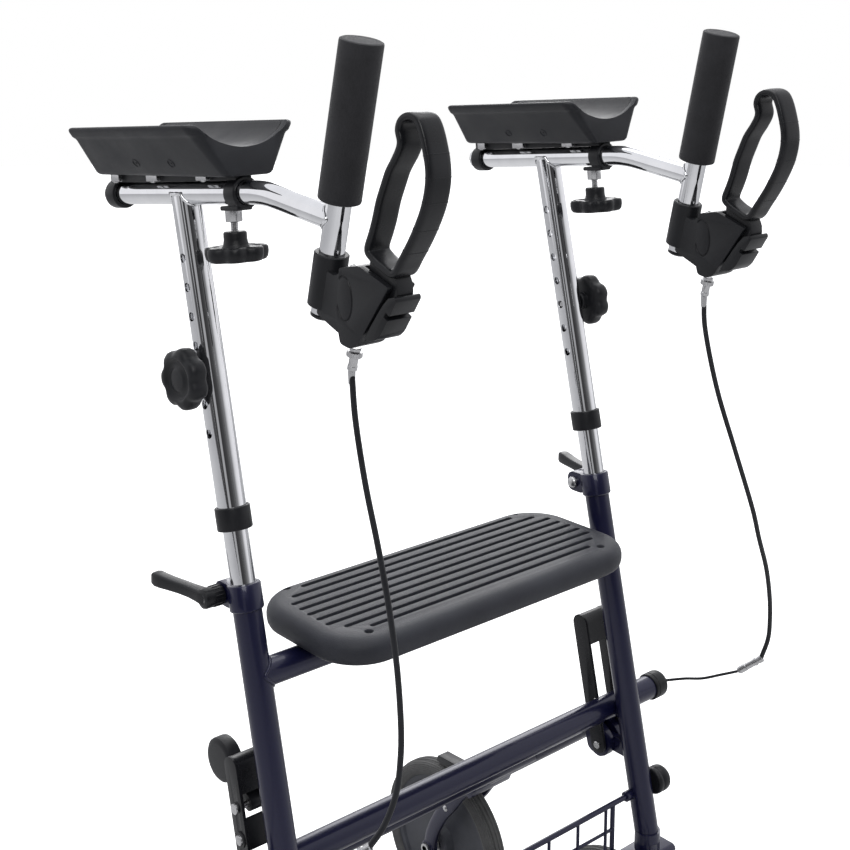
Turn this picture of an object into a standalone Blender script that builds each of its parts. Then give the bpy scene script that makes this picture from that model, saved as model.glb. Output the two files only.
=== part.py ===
"""Four-wheeled walking frame with forearm supports, hand brakes and a seat.

World axes: +Z up, -Y is the way it rolls, +X is the user's left. The origin is
on the floor under the middle of the frame. Shapes are worked out in millimetres
from the top height hole of a post and placed in metres.
"""
import math

import bmesh
import bpy
from mathutils import Matrix, Vector

for item in list(bpy.data.objects):
    bpy.data.objects.remove(item, do_unlink=True)

# Driving dimensions, millimetres unless an angle.
MM = 0.001
TOP_HOLE_Z = 902.0        # top height hole above the floor
TOP_HOLE_Y = 29.35         # and behind the middle of the frame
POST_X = 222.7            # half the track of the two posts
LEAN = math.radians(12.9)  # posts lean back towards the top
TOE_IN = math.radians(2.6)  # forearm tubes point inwards at the front
HOLE_PITCH = 25.4
HOLES = 7
FINE = 16                 # sides of the main tubes
MID = 14
SMALL = 10
WHEEL_SIDES = 20          # flats of a wheel, one of them on the floor
TINY = 6                  # sides of small holes and bolts
HOLE_R = 4.0
POST_R = 12.7
LOWER_R = 11.0
BORE_R = 11.3
ARM_R = 10.0
GRIP_R = 17.0
ARM_TILT = math.radians(5.66)
GRIP_TILT = math.radians(12.2)
GRIP_LEN = 123.7
WHEEL_R = 100.0
TYRE_W = 30.0
SEAT_Z = -317.0
SEAT_TUBE = (-81.6, -356.0)
CROSSBAR = (-95.0, -532.0)
FOLD_PIVOT = (-94.0, -572.0)
LEVER_PIVOT = (-247.0, 0.0)
REAR_HUB = (-17.7, 152.0, -802.0)
FRONT_HUB = (0.0, -113.0, -802.0)
CASTOR_Y = -151.0
LEG_TOP = (0.0, -77.6, -556.0)
LEG_FOOT = (-17.7, 85.0, -690.0)
BRAKE_PIN = (-17.7, 103.0, -694.0)
CLAMP_BOLT = (-45.0, -290.0)
LATCH_PIN = (-72.5, -478.0)

X_AXIS = Vector((1, 0, 0))
Z_AXIS = Vector((0, 0, 1))
ZERO = Vector((0, 0, 0))
POST_AXIS = Vector((0, math.sin(LEAN), math.cos(LEAN)))
ARM_AXIS = Vector((0, math.cos(ARM_TILT), -math.sin(ARM_TILT)))
ARM_UP = Vector((0, math.sin(ARM_TILT), math.cos(ARM_TILT)))
ARM_MID = Vector((0, 0, 55.2))
GRIP_AXIS = Vector((0, -math.sin(GRIP_TILT), math.cos(GRIP_TILT)))
GRIP_FOOT = Vector((0, -193.5, 67.7))

FINISHES = {
    "chrome": ((0.80, 0.80, 0.82), 0.10, 1.0),
    "blue": ((0.016, 0.018, 0.060), 0.32, 0.35),
    "black": ((0.014, 0.014, 0.016), 0.45, 0.0),
    "foam": ((0.016, 0.016, 0.019), 0.72, 0.0),
    "pad": ((0.020, 0.020, 0.023), 0.55, 0.0),
    "seat": ((0.045, 0.046, 0.052), 0.50, 0.0),
    "cable": ((0.030, 0.030, 0.033), 0.42, 0.0),
    "steel": ((0.62, 0.62, 0.64), 0.30, 1.0),
    "tyre": ((0.050, 0.050, 0.054), 0.80, 0.0),
}


def make_material(name):
    colour, roughness, metallic = FINISHES[name]
    mat = bpy.data.materials.new(name)
    mat.use_nodes = True
    shader = mat.node_tree.nodes["Principled BSDF"]
    shader.inputs["Base Color"].default_value = (*colour, 1.0)
    shader.inputs["Roughness"].default_value = roughness
    shader.inputs["Metallic"].default_value = metallic
    return mat


MATERIALS = {name: make_material(name) for name in FINISHES}


# ---- frames of reference -------------------------------------------------

def centre_frame():
    """Millimetres across, behind and above the top height holes."""
    lift = Matrix.Translation((0, TOP_HOLE_Y, TOP_HOLE_Z))
    return Matrix.Scale(MM, 4) @ lift


def side_frame(side):
    """The same, with the first number measured outwards from one post."""
    flip = Matrix.Diagonal((side, 1, 1, 1))
    return centre_frame() @ flip @ Matrix.Translation((POST_X, 0, 0))


def handle_frame(side):
    """The side frame turned on the post's axis by the toe-in."""
    return side_frame(side) @ Matrix.Rotation(-TOE_IN, 4, POST_AXIS)


def on_post(t):
    """A point on the post's axis, t along it from the top height hole."""
    return POST_AXIS * t


def on_arm(a, b, o=0.0):
    """A point beside the forearm tube: a along it, b above it, o outwards."""
    return ARM_MID + ARM_AXIS * a + ARM_UP * b + X_AXIS * o


# ---- shapes --------------------------------------------------------------

def square_to(axis):
    """A unit vector square to the axis, the same for every piece on it."""
    guide = Z_AXIS + Vector((0, 1, 0)) if abs(axis.z) < 0.9 else X_AXIS
    return (guide - axis * guide.dot(axis)).normalized()


def fill_open_ends(bm):
    rim = [edge for edge in bm.edges if edge.is_boundary]
    if rim:
        bmesh.ops.holes_fill(bm, edges=rim, sides=0)
    return bm


def turned(profile, sides, axis, base=ZERO, ring=False):
    """Spin (radius, height) pairs about an axis through base."""
    bm = bmesh.new()
    axis = Vector(axis).normalized()
    base = Vector(base)
    out = square_to(axis)
    verts = [bm.verts.new(base + out * r + axis * h) for r, h in profile]
    edges = [bm.edges.new(pair) for pair in zip(verts, verts[1:])]
    if ring:
        edges.append(bm.edges.new((verts[-1], verts[0])))
    bmesh.ops.spin(bm, geom=verts + edges, cent=base, axis=axis,
                   angle=2 * math.pi, steps=sides, use_merge=False)
    bmesh.ops.remove_doubles(bm, verts=bm.verts, dist=0.001)
    return fill_open_ends(bm)


def rod(radius, low, high, axis, base=ZERO, sides=SMALL):
    """A plain cylinder between two heights along an axis."""
    return turned([(radius, low), (radius, high)], sides, axis, base)


def lofted(rings):
    """Join rings with the same number of points and close both ends."""
    bm = bmesh.new()
    loops = []
    for ring in rings:
        verts = [bm.verts.new(point) for point in ring]
        pairs = zip(verts, verts[1:] + verts[:1])
        loops.append([bm.edges.new(pair) for pair in pairs])
    for low, high in zip(loops, loops[1:]):
        bmesh.ops.bridge_loops(bm, edges=low + high)
    return fill_open_ends(bm)


def piped(path, radii, sides):
    """A round bar along a path, with one radius or one for each point."""
    points = [Vector(p) for p in path]
    if not isinstance(radii, (list, tuple)):
        radii = [radii] * len(points)
    legs = [(b - a).normalized() for a, b in zip(points, points[1:])]
    heads = [legs[0]]
    heads += [(a + b).normalized() for a, b in zip(legs, legs[1:])]
    heads.append(legs[-1])
    out = square_to(heads[0])
    rings = []
    for i, (point, head, radius) in enumerate(zip(points, heads, radii)):
        if i:
            out = heads[i - 1].rotation_difference(head) @ out
        across = head.cross(out)
        ring = []
        for k in range(sides):
            turn = 2 * math.pi * k / sides
            ring.append(point + radius * (out * math.cos(turn) + across * math.sin(turn)))
        rings.append(ring)
    return lofted(rings)


def plate(outline, low, high):
    """A flat plate: (y, z) corners, from low to high across."""
    rings = [[(across, y, z) for y, z in outline] for across in (low, high)]
    return lofted(rings)


def arc(centre, radius, start, stop, steps):
    """Points of a circular arc in (y, z), angles in degrees."""
    points = []
    for k in range(steps + 1):
        angle = math.radians(start + (stop - start) * k / steps)
        y = centre[0] + radius * math.cos(angle)
        z = centre[1] + radius * math.sin(angle)
        points.append((y, z))
    return points


def capsule(first, last, radius, steps=4):
    """The (y, z) outline of a bar with two round ends."""
    along = math.degrees(math.atan2(last[1] - first[1], last[0] - first[0]))
    ends = arc(last, radius, along - 90, along + 90, steps)
    return ends + arc(first, radius, along + 90, along + 270, steps)


def rounded(x0, x1, y0, y1, radius, steps):
    """A rectangle with round corners, counter-clockwise."""
    corners = [(x1 - radius, y1 - radius, 0), (x0 + radius, y1 - radius, 90),
               (x0 + radius, y0 + radius, 180), (x1 - radius, y0 + radius, 270)]
    points = []
    for cx, cy, start in corners:
        points += arc((cx, cy), radius, start, start + 90, steps)
    return points


def star(radius, dip, lobes, low, high, axis, base, lip=2.0):
    """A hand knob's wheel with shallow lobes and eased rims."""
    axis = Vector(axis).normalized()
    out = square_to(axis)
    across = axis.cross(out)
    rings = []
    for height, inset in ((low, lip), (low + lip, 0), (high - lip, 0), (high, lip)):
        ring = []
        for k in range(lobes * 4):
            turn = 2 * math.pi * k / (lobes * 4)
            reach = radius - inset - dip * (0.5 - 0.5 * math.cos(turn * lobes))
            point = Vector(base) + axis * height
            point += reach * (out * math.cos(turn) + across * math.sin(turn))
            ring.append(point)
        rings.append(ring)
    return lofted(rings)


def curve_through(points, spacing):
    """Evenly spaced points of a smooth curve through the given ones."""
    nodes = [Vector(p) for p in points]
    nodes = [2 * nodes[0] - nodes[1]] + nodes + [2 * nodes[-1] - nodes[-2]]
    fine = []
    for p0, p1, p2, p3 in zip(nodes, nodes[1:], nodes[2:], nodes[3:]):
        for k in range(20):
            t = k / 20
            a = 2 * p1 + (p2 - p0) * t
            b = (2 * p0 - 5 * p1 + 4 * p2 - p3) * t * t
            c = (3 * p1 - p0 - 3 * p2 + p3) * t * t * t
            fine.append((a + b + c) / 2)
    fine.append(nodes[-2])
    total = sum((b - a).length for a, b in zip(fine, fine[1:]))
    count = max(2, round(total / spacing))
    result = [fine[0]]
    run = 0.0
    for a, b in zip(fine, fine[1:]):
        step = (b - a).length
        while len(result) < count and run + step >= total * len(result) / count:
            part = (total * len(result) / count - run) / step
            result.append(a.lerp(b, part))
        run += step
    result.append(fine[-1])
    return result


# ---- objects -------------------------------------------------------------

def piece(name, bm, frame, finish, pivot=None, sharp=32):
    """Make the named object; its origin is at pivot, given in the frame."""
    origin = Vector((0, 0, 0)) if pivot is None else frame @ Vector(pivot)
    bmesh.ops.recalc_face_normals(bm, faces=bm.faces)
    bm.transform(Matrix.Translation(-origin) @ frame)
    if bm.calc_volume(signed=True) < 0:
        bmesh.ops.reverse_faces(bm, faces=bm.faces)
    mesh = bpy.data.meshes.new(name)
    bm.to_mesh(mesh)
    bm.free()
    mesh.shade_smooth()
    mesh.set_sharp_from_angle(angle=math.radians(sharp))
    mesh.materials.append(MATERIALS[finish])
    obj = bpy.data.objects.new(name, mesh)
    obj.location = origin
    bpy.context.scene.collection.objects.link(obj)
    return obj


def combine(obj, operation, shapes, frame):
    """Add or cut each shape with a Boolean modifier and a hidden helper."""
    for bm in shapes:
        number = len(obj.modifiers) + 1
        tool = piece(f"tool_{obj.name}_{number}", bm, frame, "steel")
        tool.hide_render = True
        tool.display_type = "WIRE"
        mod = obj.modifiers.new(f"{operation.title()} {number}", "BOOLEAN")
        mod.operation = operation
        mod.solver = "EXACT"
        mod.object = tool
    return obj


def add(obj, frame, *shapes):
    return combine(obj, "UNION", shapes, frame)


def cut(obj, frame, *shapes):
    return combine(obj, "DIFFERENCE", shapes, frame)


def tube_object(name, route, radius, resolution, finish):
    """A flexible tube: a poly curve with a round bevel and filled caps."""
    curve = bpy.data.curves.new(name, "CURVE")
    curve.dimensions = "3D"
    curve.bevel_depth = radius * MM
    curve.bevel_resolution = resolution
    curve.use_fill_caps = True
    spline = curve.splines.new("POLY")
    spline.points.add(len(route) - 1)
    for knot, place in zip(spline.points, route):
        knot.co = (*(centre_frame() @ Vector(place)), 1.0)
    curve.materials.append(MATERIALS[finish])
    obj = bpy.data.objects.new(name, curve)
    bpy.context.scene.collection.objects.link(obj)
    return obj


# ---- the frame's sides ---------------------------------------------------

def build_post(label, frame):
    post = piece(label + "post", rod(POST_R, -684, -299, POST_AXIS, sides=FINE), frame, "blue")
    head_tube = rod(13.5, -672, -652, Z_AXIS, (0, CASTOR_Y, 0), FINE)
    lug_end = arc(FOLD_PIVOT, 8, -90, 90, 6)
    lug = plate([(-131, -581)] + lug_end + [(-128, -563)], -4, 4)
    add(post, frame, head_tube, lug)
    bore = rod(BORE_R, -500, -290, POST_AXIS, sides=FINE)
    stem_hole = rod(6.4, -690, -634, Z_AXIS, (0, CASTOR_Y, 0), SMALL)
    pin_hole = rod(4.3, -10, 10, X_AXIS, (0, *FOLD_PIVOT), 10)
    foot = rod(40, -720, -672, Z_AXIS, (0, CASTOR_Y, 0), FINE)
    cut(post, frame, bore, stem_hole, pin_hole, foot)
    knob = turned([(11, 13.4), (14, 15), (14, 29), (10, 32.7)], MID, X_AXIS, (0, -143, -606))
    piece(label + "post_knob", knob, frame, "black")


def build_collar(label, frame):
    collar_shape = turned([(13.8, -307.4), (15, -306), (15, -286), (13.8, -284.4)],
                          FINE, POST_AXIS)
    collar = piece(label + "post_collar", collar_shape, frame, "blue")
    ears = plate(rounded(-62, -36, -300, -279, 5, 2), -11, 11)
    add(collar, frame, ears)
    around_post = rod(POST_R + 0.3, -320, -298.5, POST_AXIS, sides=FINE)
    around_tube = rod(BORE_R, -310, -270, POST_AXIS, sides=FINE)
    bolt_hole = rod(3.3, -20, 20, X_AXIS, (0, *CLAMP_BOLT), 8)
    cut(collar, frame, around_post, around_tube, bolt_hole)

    pivot = (0, *CLAMP_BOLT)
    arm = piped([(24, -47, -290), (27, -25, -289.5), (34, 0, -289), (37.5, 16, -288),
                 (38, 20, -288)], [7.5, 6.0, 6.5, 6.5, 4.0], 8)
    lever = piece(label + "clamp_lever", arm, frame, "black", pivot)
    hub = turned([(8.5, 11.3), (9, 13), (9, 29), (7, 31)], SMALL, X_AXIS, pivot)
    bolt = rod(3.0, -13, 20, X_AXIS, pivot, 8)
    head = rod(6.0, -15.8, -11.3, X_AXIS, pivot, 6)
    add(lever, frame, hub, bolt, head)


def slot_outline(low, high, half):
    """A strip along the post's axis, as (y, z) corners."""
    side = Vector((0, math.cos(LEAN), -math.sin(LEAN)))
    corners = []
    for t, w in ((low, -half), (high, -half), (high, half), (low, half)):
        point = on_post(t) + side * w
        corners.append((point.y, point.z))
    return corners


def build_tubes(label, frame):
    shape = turned([(LOWER_R, -465), (LOWER_R, -36), (9.2, -36), (9.2, -465)],
                   FINE, POST_AXIS, ring=True)
    lower = piece(label + "lower_tube", shape, frame, "chrome")
    cut(lower, frame, plate(slot_outline(-157.5, -45.5, 4.4), -15, 15))

    handle = piece(label + "handle_tube", rod(POST_R, -234, 53.2, POST_AXIS, sides=FINE),
                   frame, "chrome")
    arm_path = [on_arm(129.6, 0, 0.05), on_arm(-95, 0, 0.05), (0, -104, 65.2), (0, -113, 64.4),
                (0, -188, 53.6)]
    arm = piped(arm_path, ARM_R, MID)
    grip_tube = rod(ARM_R, -91.6, GRIP_LEN - 5, GRIP_AXIS, GRIP_FOOT, MID)
    add(handle, frame, arm, grip_tube)
    bore = rod(BORE_R, -250, 26, POST_AXIS, sides=FINE)
    holes = [rod(HOLE_R, -20, 20, X_AXIS, on_post(-HOLE_PITCH * k), TINY) for k in range(HOLES)]
    cut(handle, frame, bore, *holes)

    ring = turned([(14.6, -237.1), (15.5, -236), (15.5, -218.2), (14.6, -217.1),
                   (POST_R + 0.3, -217.1), (POST_R + 0.3, -234.4), (BORE_R, -234.4),
                   (BORE_R, -237.1)], FINE, POST_AXIS, ring=True)
    piece(label + "tube_ring", ring, frame, "black")

    at = on_post(-HOLE_PITCH * 4)
    knob = piece(label + "height_knob", star(27, 3.5, 6, 20, 37, X_AXIS, at), frame, "black", at)
    stem = rod(9, 13.4, 22, X_AXIS, at, SMALL)
    bolt = rod(3.3, -22, 22, X_AXIS, at, TINY)
    add(knob, frame, stem, bolt)


# ---- forearm trough ------------------------------------------------------

TROUGH_RISE = 0.0243  # the trough climbs this much for each mm towards the elbow
TROUGH_AXIS = (ARM_AXIS + ARM_UP * TROUGH_RISE).normalized()


def on_trough(a, b, o=0.0):
    return on_arm(a, b + (a + 75.0) * TROUGH_RISE, o)


def trough_ring(b, inset, corner):
    """The trough's outline at height b over the forearm tube, pulled in by inset."""
    share = (b - 14.0) / 43.5
    front = -84.0 + 7.0 * share + inset
    rear = 118.0 - 5.0 * share - inset
    half = 24.0 + 30.0 * share - inset
    flat = rounded(front, rear, -half, half, corner, 3)
    return [on_trough(a, b, o) for a, o in flat]


def build_trough(label, frame):
    shell = [trough_ring(14, 1.5, 5), trough_ring(16, 0, 6), trough_ring(49, 0, 9),
             trough_ring(50, -1.6, 10), trough_ring(56.3, -1.6, 10), trough_ring(57.5, 0, 9)]
    trough = piece(label + "trough", lofted(shell), frame, "black")
    hollow = [trough_ring(20, 5, 4), trough_ring(62, 5, 7)]
    arm_rest = rod(65, -130, 170, TROUGH_AXIS, on_trough(0, 104.5), 48)
    cut(trough, frame, lofted(hollow), arm_rest)
    filling = [trough_ring(20.3, 5.4, 4), trough_ring(57.0, 5.4, 7)]
    pad = piece(label + "trough_pad", lofted(filling), frame, "pad")
    cut(pad, frame, rod(65, -130, 170, TROUGH_AXIS, on_trough(0, 104.5), 48))

    clamp = piece(label + "trough_clamp", rod(13.5, -76, -62, ARM_AXIS, ARM_MID, MID),
                  frame, "black")
    rear = rod(13.5, 109.5, 123.5, ARM_AXIS, ARM_MID, MID)
    strip = [on_arm(a, b, -8) for a, b in ((-74, 9), (120, 9), (120, 18.3), (-74, 13.6))]
    strip = lofted([strip, [point + X_AXIS * 16 for point in strip]])
    foot = [on_arm(a, b, -7.6) for a, b in ((-73, -14.5), (-48, -14.5), (-48, -8), (-73, -8))]
    foot = lofted([foot, [point + X_AXIS * 15.2 for point in foot]])
    boss = rod(7, -24, -12, ARM_UP, on_arm(-56.2, 0), SMALL)
    add(clamp, frame, rear, strip, foot, boss)
    round_arm = rod(ARM_R + 0.3, -90, 140, ARM_AXIS, ARM_MID, MID)
    screw_hole = rod(3.3, -40, -5, ARM_UP, on_arm(-56.2, 0), 10)
    cut(clamp, frame, round_arm, screw_hole)

    at = on_arm(-56.2, 0)
    knob = piece(label + "trough_knob", star(27, 3.0, 7, -57, -44, ARM_UP, at), frame, "black",
                 on_arm(-56.2, -40))
    hub = turned([(12, -46), (9, -38), (9, -32)], 16, ARM_UP, at)
    screw = rod(3.0, -46, -10.4, ARM_UP, at, 8)
    add(knob, frame, hub, screw)


# ---- grip, brake housing and lever ---------------------------------------

LEVER_LINE = [(-236.5, 37), (-241.5, 50), (-250, 75), (-257.5, 93), (-266, 105.5),
              (-271.3, 117), (-269.6, 127), (-273.2, 134.2), (-281, 137), (-289.5, 133.5),
              (-296.3, 119), (-300.9, 97.5), (-297.3, 76), (-286.8, 54), (-274, 34.5),
              (-264.5, 22.5), (-252, 26), (-241, 31.5)]


def offset_loop(line, reach):
    """A closed (y, z) line moved sideways, outwards for a positive reach."""
    moved = []
    for before, at, after in zip(line[-1:] + line[:-1], line, line[1:] + line[:1]):
        run = Vector((after[0] - before[0], after[1] - before[1])).normalized()
        moved.append((at[0] + run.y * reach, at[1] - run.x * reach))
    return moved


def build_grip(label, frame):
    shape = turned([(16, 0), (GRIP_R, 1.5), (GRIP_R, GRIP_LEN - 3), (14.5, GRIP_LEN)],
                   FINE, GRIP_AXIS, GRIP_FOOT)
    grip = piece(label + "grip", shape, frame, "foam")
    cut(grip, frame, rod(ARM_R + 0.3, -5, GRIP_LEN - 4.6, GRIP_AXIS, GRIP_FOOT, MID))


def build_brake(label, frame):
    outline = [(-209, 20), (-231, 24.4), (-264, 12.5), (-233, -31), (-230, -36), (-221, -40),
               (-210, -38), (-205, -19)]
    housing = piece(label + "brake_housing", plate(outline, -13.5, 13.5), frame, "black")
    sleeve = rod(13.8, -85, -41.6, GRIP_AXIS, GRIP_FOOT, MID)
    neck = plate([(-212, 19), (-190, 15), (-178, -20), (-209, -33)], -10, 10)
    add(housing, frame, sleeve, neck)
    tube_hole = rod(ARM_R + 0.3, -110, -20, GRIP_AXIS, GRIP_FOOT, MID)
    slot = plate([(-300, -60), (-231.7, -60), (-231.7, 60), (-300, 60)], -8.4, 8.4)
    pivot = (0, *LEVER_PIVOT)
    pin_hole = rod(2.8, -20, 20, X_AXIS, pivot, 8)
    cut(housing, frame, tube_hole, slot, pin_hole)

    outer = offset_loop(LEVER_LINE, 3.5)
    inner = offset_loop(LEVER_LINE, -3.5)
    lever = piece(label + "brake_lever", plate(outer, -11.7, 11.7), frame, "black", pivot)
    cut(lever, frame, plate(inner, -20, 20))
    tongue = plate([(-238, 33), (-262, 24), (-267, 15), (-268, 6), (-256, -12), (-246, -24),
                    (-239, -26), (-234, -10), (-236, 8)], -8, 8)
    block = plate([(-262.5, 4.5), (-270, 6.5), (-271.5, 3.5), (-254, -24.5), (-248, -29.5),
                   (-239, -31), (-236.4, -29), (-249.8, -10.3), (-256.6, -1.5)], -12.5, 12.5)
    add(lever, frame, tongue, block, rod(2.5, -13.2, 13.2, X_AXIS, pivot, 8))

    foot = Vector((0, -212.4, -42.2))
    run = Vector((0, -207.9, -61.4)) - foot
    adjuster = turned([(4, 0), (6, 0.8), (6, 8), (4, 9), (4, run.length)],
                      12, run, foot)
    piece(label + "cable_adjuster", adjuster, frame, "steel")


# ---- brake cables --------------------------------------------------------

LEFT_ROUTE = [(216, -209, -95), (231, -214, -155), (256, -219, -219), (287, -221, -288),
              (304, -219, -326), (325, -215, -366), (342, -209, -405), (353, -203, -436),
              (357, -199, -460), (356, -192, -484)]
LEFT_END = [(355, -190.5, -486.5), (341, -173, -502), (331, -159, -508), (321, -141, -516),
            (319, -119, -524), (311, -99, -531)]
RIGHT_ROUTE = [(-216, -214, -99), (-216.5, -226, -146), (-217, -241, -190), (-218, -255, -234),
               (-219, -266, -280), (-221, -273, -324), (-225, -277, -350), (-232, -280, -374),
               (-243, -279, -396), (-254, -274, -412)]
RIGHT_END = [(-255.3, -273, -413.3), (-275, -257, -430), (-305, -226, -460), (-339, -181, -495),
             (-358.4, -139, -519), (-343, -106, -531), (-308.3, -95, -532)]
SPLIT = {1: 4, -1: 3}


def build_cable(label, side, frame):
    start = frame @ Vector((0, -207.7, -62.7))
    start = centre_frame().inverted() @ start
    route = [start] + (LEFT_ROUTE if side > 0 else RIGHT_ROUTE)
    fine = curve_through(route, 12)
    place = Vector(route[SPLIT[side]])
    middle = min(range(len(fine)), key=lambda k: (fine[k] - place).length)
    tube_object(label + "cable_upper", fine[:middle + 1], 2.5, 2, "cable")
    head = fine[middle].lerp(fine[middle + 1], 0.04)
    tube_object(label + "cable_lower", [head] + fine[middle + 1:], 2.5, 2, "cable")
    end = LEFT_END if side > 0 else RIGHT_END
    thin = curve_through(end[1:], 11)
    path = [end[0]] + [Vector(end[0]).lerp(Vector(end[1]), 0.97)] + thin
    radii = [4.0, 4.0] + [1.5] * len(thin)
    connector = piped(path, radii, 6)
    piece(label + "cable_connector", connector, centre_frame(), "steel")


# ---- rear legs, castors and wheels ---------------------------------------

def wheel_profile():
    """Tyre, rim, web and hub, as (radius, height) round the hub's bore."""
    tread = WHEEL_R / math.cos(math.pi / WHEEL_SIDES)
    half = [(5.2, 17), (18, 17), (23, 6), (79, 6), (84, TYRE_W / 2), (tread, 10)]
    return [(r, -h) for r, h in half] + [(r, h) for r, h in reversed(half)]


def build_rear(label, frame):
    leg = piece(label + "rear_leg", piped([LEG_TOP, LEG_FOOT], 11, MID), frame, "blue",
                (0, *FOLD_PIVOT))
    block = plate([(-106, -566), (-98, -557), (-84, -551), (-70, -560), (-76, -584),
                   (-92, -589), (-104, -582)], -13.5, 13.5)
    mid, hub_y, hub_z = REAR_HUB
    crown = plate([(74, -702), (68, -688), (84, -676), (92, -684), (90, -700)],
                  mid - 31, mid + 31)
    add(leg, frame, block, crown)
    for across in (mid - 26, mid + 26):
        arm = piped([(across, 82, -692), (across, 113, -727), (across, 140, -765),
                     (across, 151, -798)], 5.2, 8)
        eye = rod(9, -4, 4, X_AXIS, (across, hub_y, hub_z), SMALL)
        add(leg, frame, arm, eye)
    for low, high in ((mid - 13, mid - 10), (mid + 10, mid + 13)):
        ear = capsule((86, -690), BRAKE_PIN[1:], 6)
        add(leg, frame, plate(ear, low, high))
    axle = rod(4.8, -33, 33, X_AXIS, REAR_HUB, SMALL)
    brake_pin = rod(2.5, -14, 14, X_AXIS, BRAKE_PIN, 8)
    add(leg, frame, axle, brake_pin)
    slot = plate([(-125, -600), (-84.5, -600), (-84.5, -540), (-125, -540)], -4.5, 4.5)
    hole = rod(4.3, -20, 20, X_AXIS, (0, *FOLD_PIVOT), SMALL)
    cut(leg, frame, slot, hole)

    wheel = turned(wheel_profile(), WHEEL_SIDES, X_AXIS, REAR_HUB, ring=True)
    piece(label + "rear_wheel", wheel, frame, "tyre", REAR_HUB)

    shoe = plate([(96.5, -690), (101, -687.5), (108, -688), (158, -690), (160, -698),
                  (130, -698), (126, -694.5), (108, -699.5), (99, -699.5)], mid - 8, mid + 8)
    arm = piece(label + "brake_arm", shoe, frame, "black", BRAKE_PIN)
    cut(arm, frame, rod(2.8, -20, 20, X_AXIS, BRAKE_PIN, 8))


def build_castor(label, frame):
    at = (0, CASTOR_Y, 0)
    stem = turned([(6, -636), (6, -680)], 16, Z_AXIS, at)
    fork = piece(label + "front_fork", stem, frame, "blue", (0, CASTOR_Y, -672.6))
    crown = plate(rounded(-169, -133, -690, -672.6, 4, 2), -26, 26)
    add(fork, frame, crown)
    blade = [(-166, -684), (-138, -684), (-104, -798), (-105, -808), (-113, -812),
             (-121, -808), (-123, -798)]
    add(fork, frame, plate(blade, -25, -20.5), plate(blade, 20.5, 25))
    add(fork, frame, rod(4.8, -30, 30, X_AXIS, FRONT_HUB, SMALL))
    wheel = turned(wheel_profile(), WHEEL_SIDES, X_AXIS, FRONT_HUB, ring=True)
    piece(label + "front_wheel", wheel, frame, "tyre", FRONT_HUB)


def build_latch(label, frame, with_pin_hole):
    top = (FOLD_PIVOT[0] + 129 * math.tan(LEAN), FOLD_PIVOT[1] + 129)
    outline = capsule(FOLD_PIVOT, top, 9.5)
    bracket = piece(label + "latch_bracket", plate(outline, -18.2, -15.2), frame, "black")
    head = capsule((top[0] - 2, top[1] - 8.7), top, 8.5)
    bolt = rod(4.0, -21, 21, X_AXIS, (0, *FOLD_PIVOT), SMALL)
    add(bracket, frame, plate(head, -17, 17), bolt, plate(outline, 15.8, 18.8))
    notch = rod(POST_R + 0.4, -40, 40, X_AXIS, (0, *CROSSBAR), FINE)
    cut(bracket, frame, notch)
    if with_pin_hole:
        cut(bracket, frame, rod(3.3, -30, 30, X_AXIS, (0, *LATCH_PIN), 8))


def build_side(side, label):
    frame = side_frame(side)
    upper = handle_frame(side)
    build_post(label, frame)
    build_collar(label, frame)
    build_tubes(label, upper)
    build_trough(label, upper)
    build_grip(label, upper)
    build_brake(label, upper)
    build_cable(label, side, upper)
    build_rear(label, frame)
    build_castor(label, frame)
    build_latch(label, frame, side < 0)
    cap = turned([(13.9, 284), (14.6, 285), (14.6, 300), (12.0, 306)], FINE, X_AXIS * side,
                 (0, *CROSSBAR))
    cap = piece(label + "crossbar_cap", cap, centre_frame(), "black")
    cut(cap, centre_frame(), rod(POST_R + 0.3, 270, 290.4, X_AXIS * side, (0, *CROSSBAR), FINE))


# ---- pieces in the middle ------------------------------------------------

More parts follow.
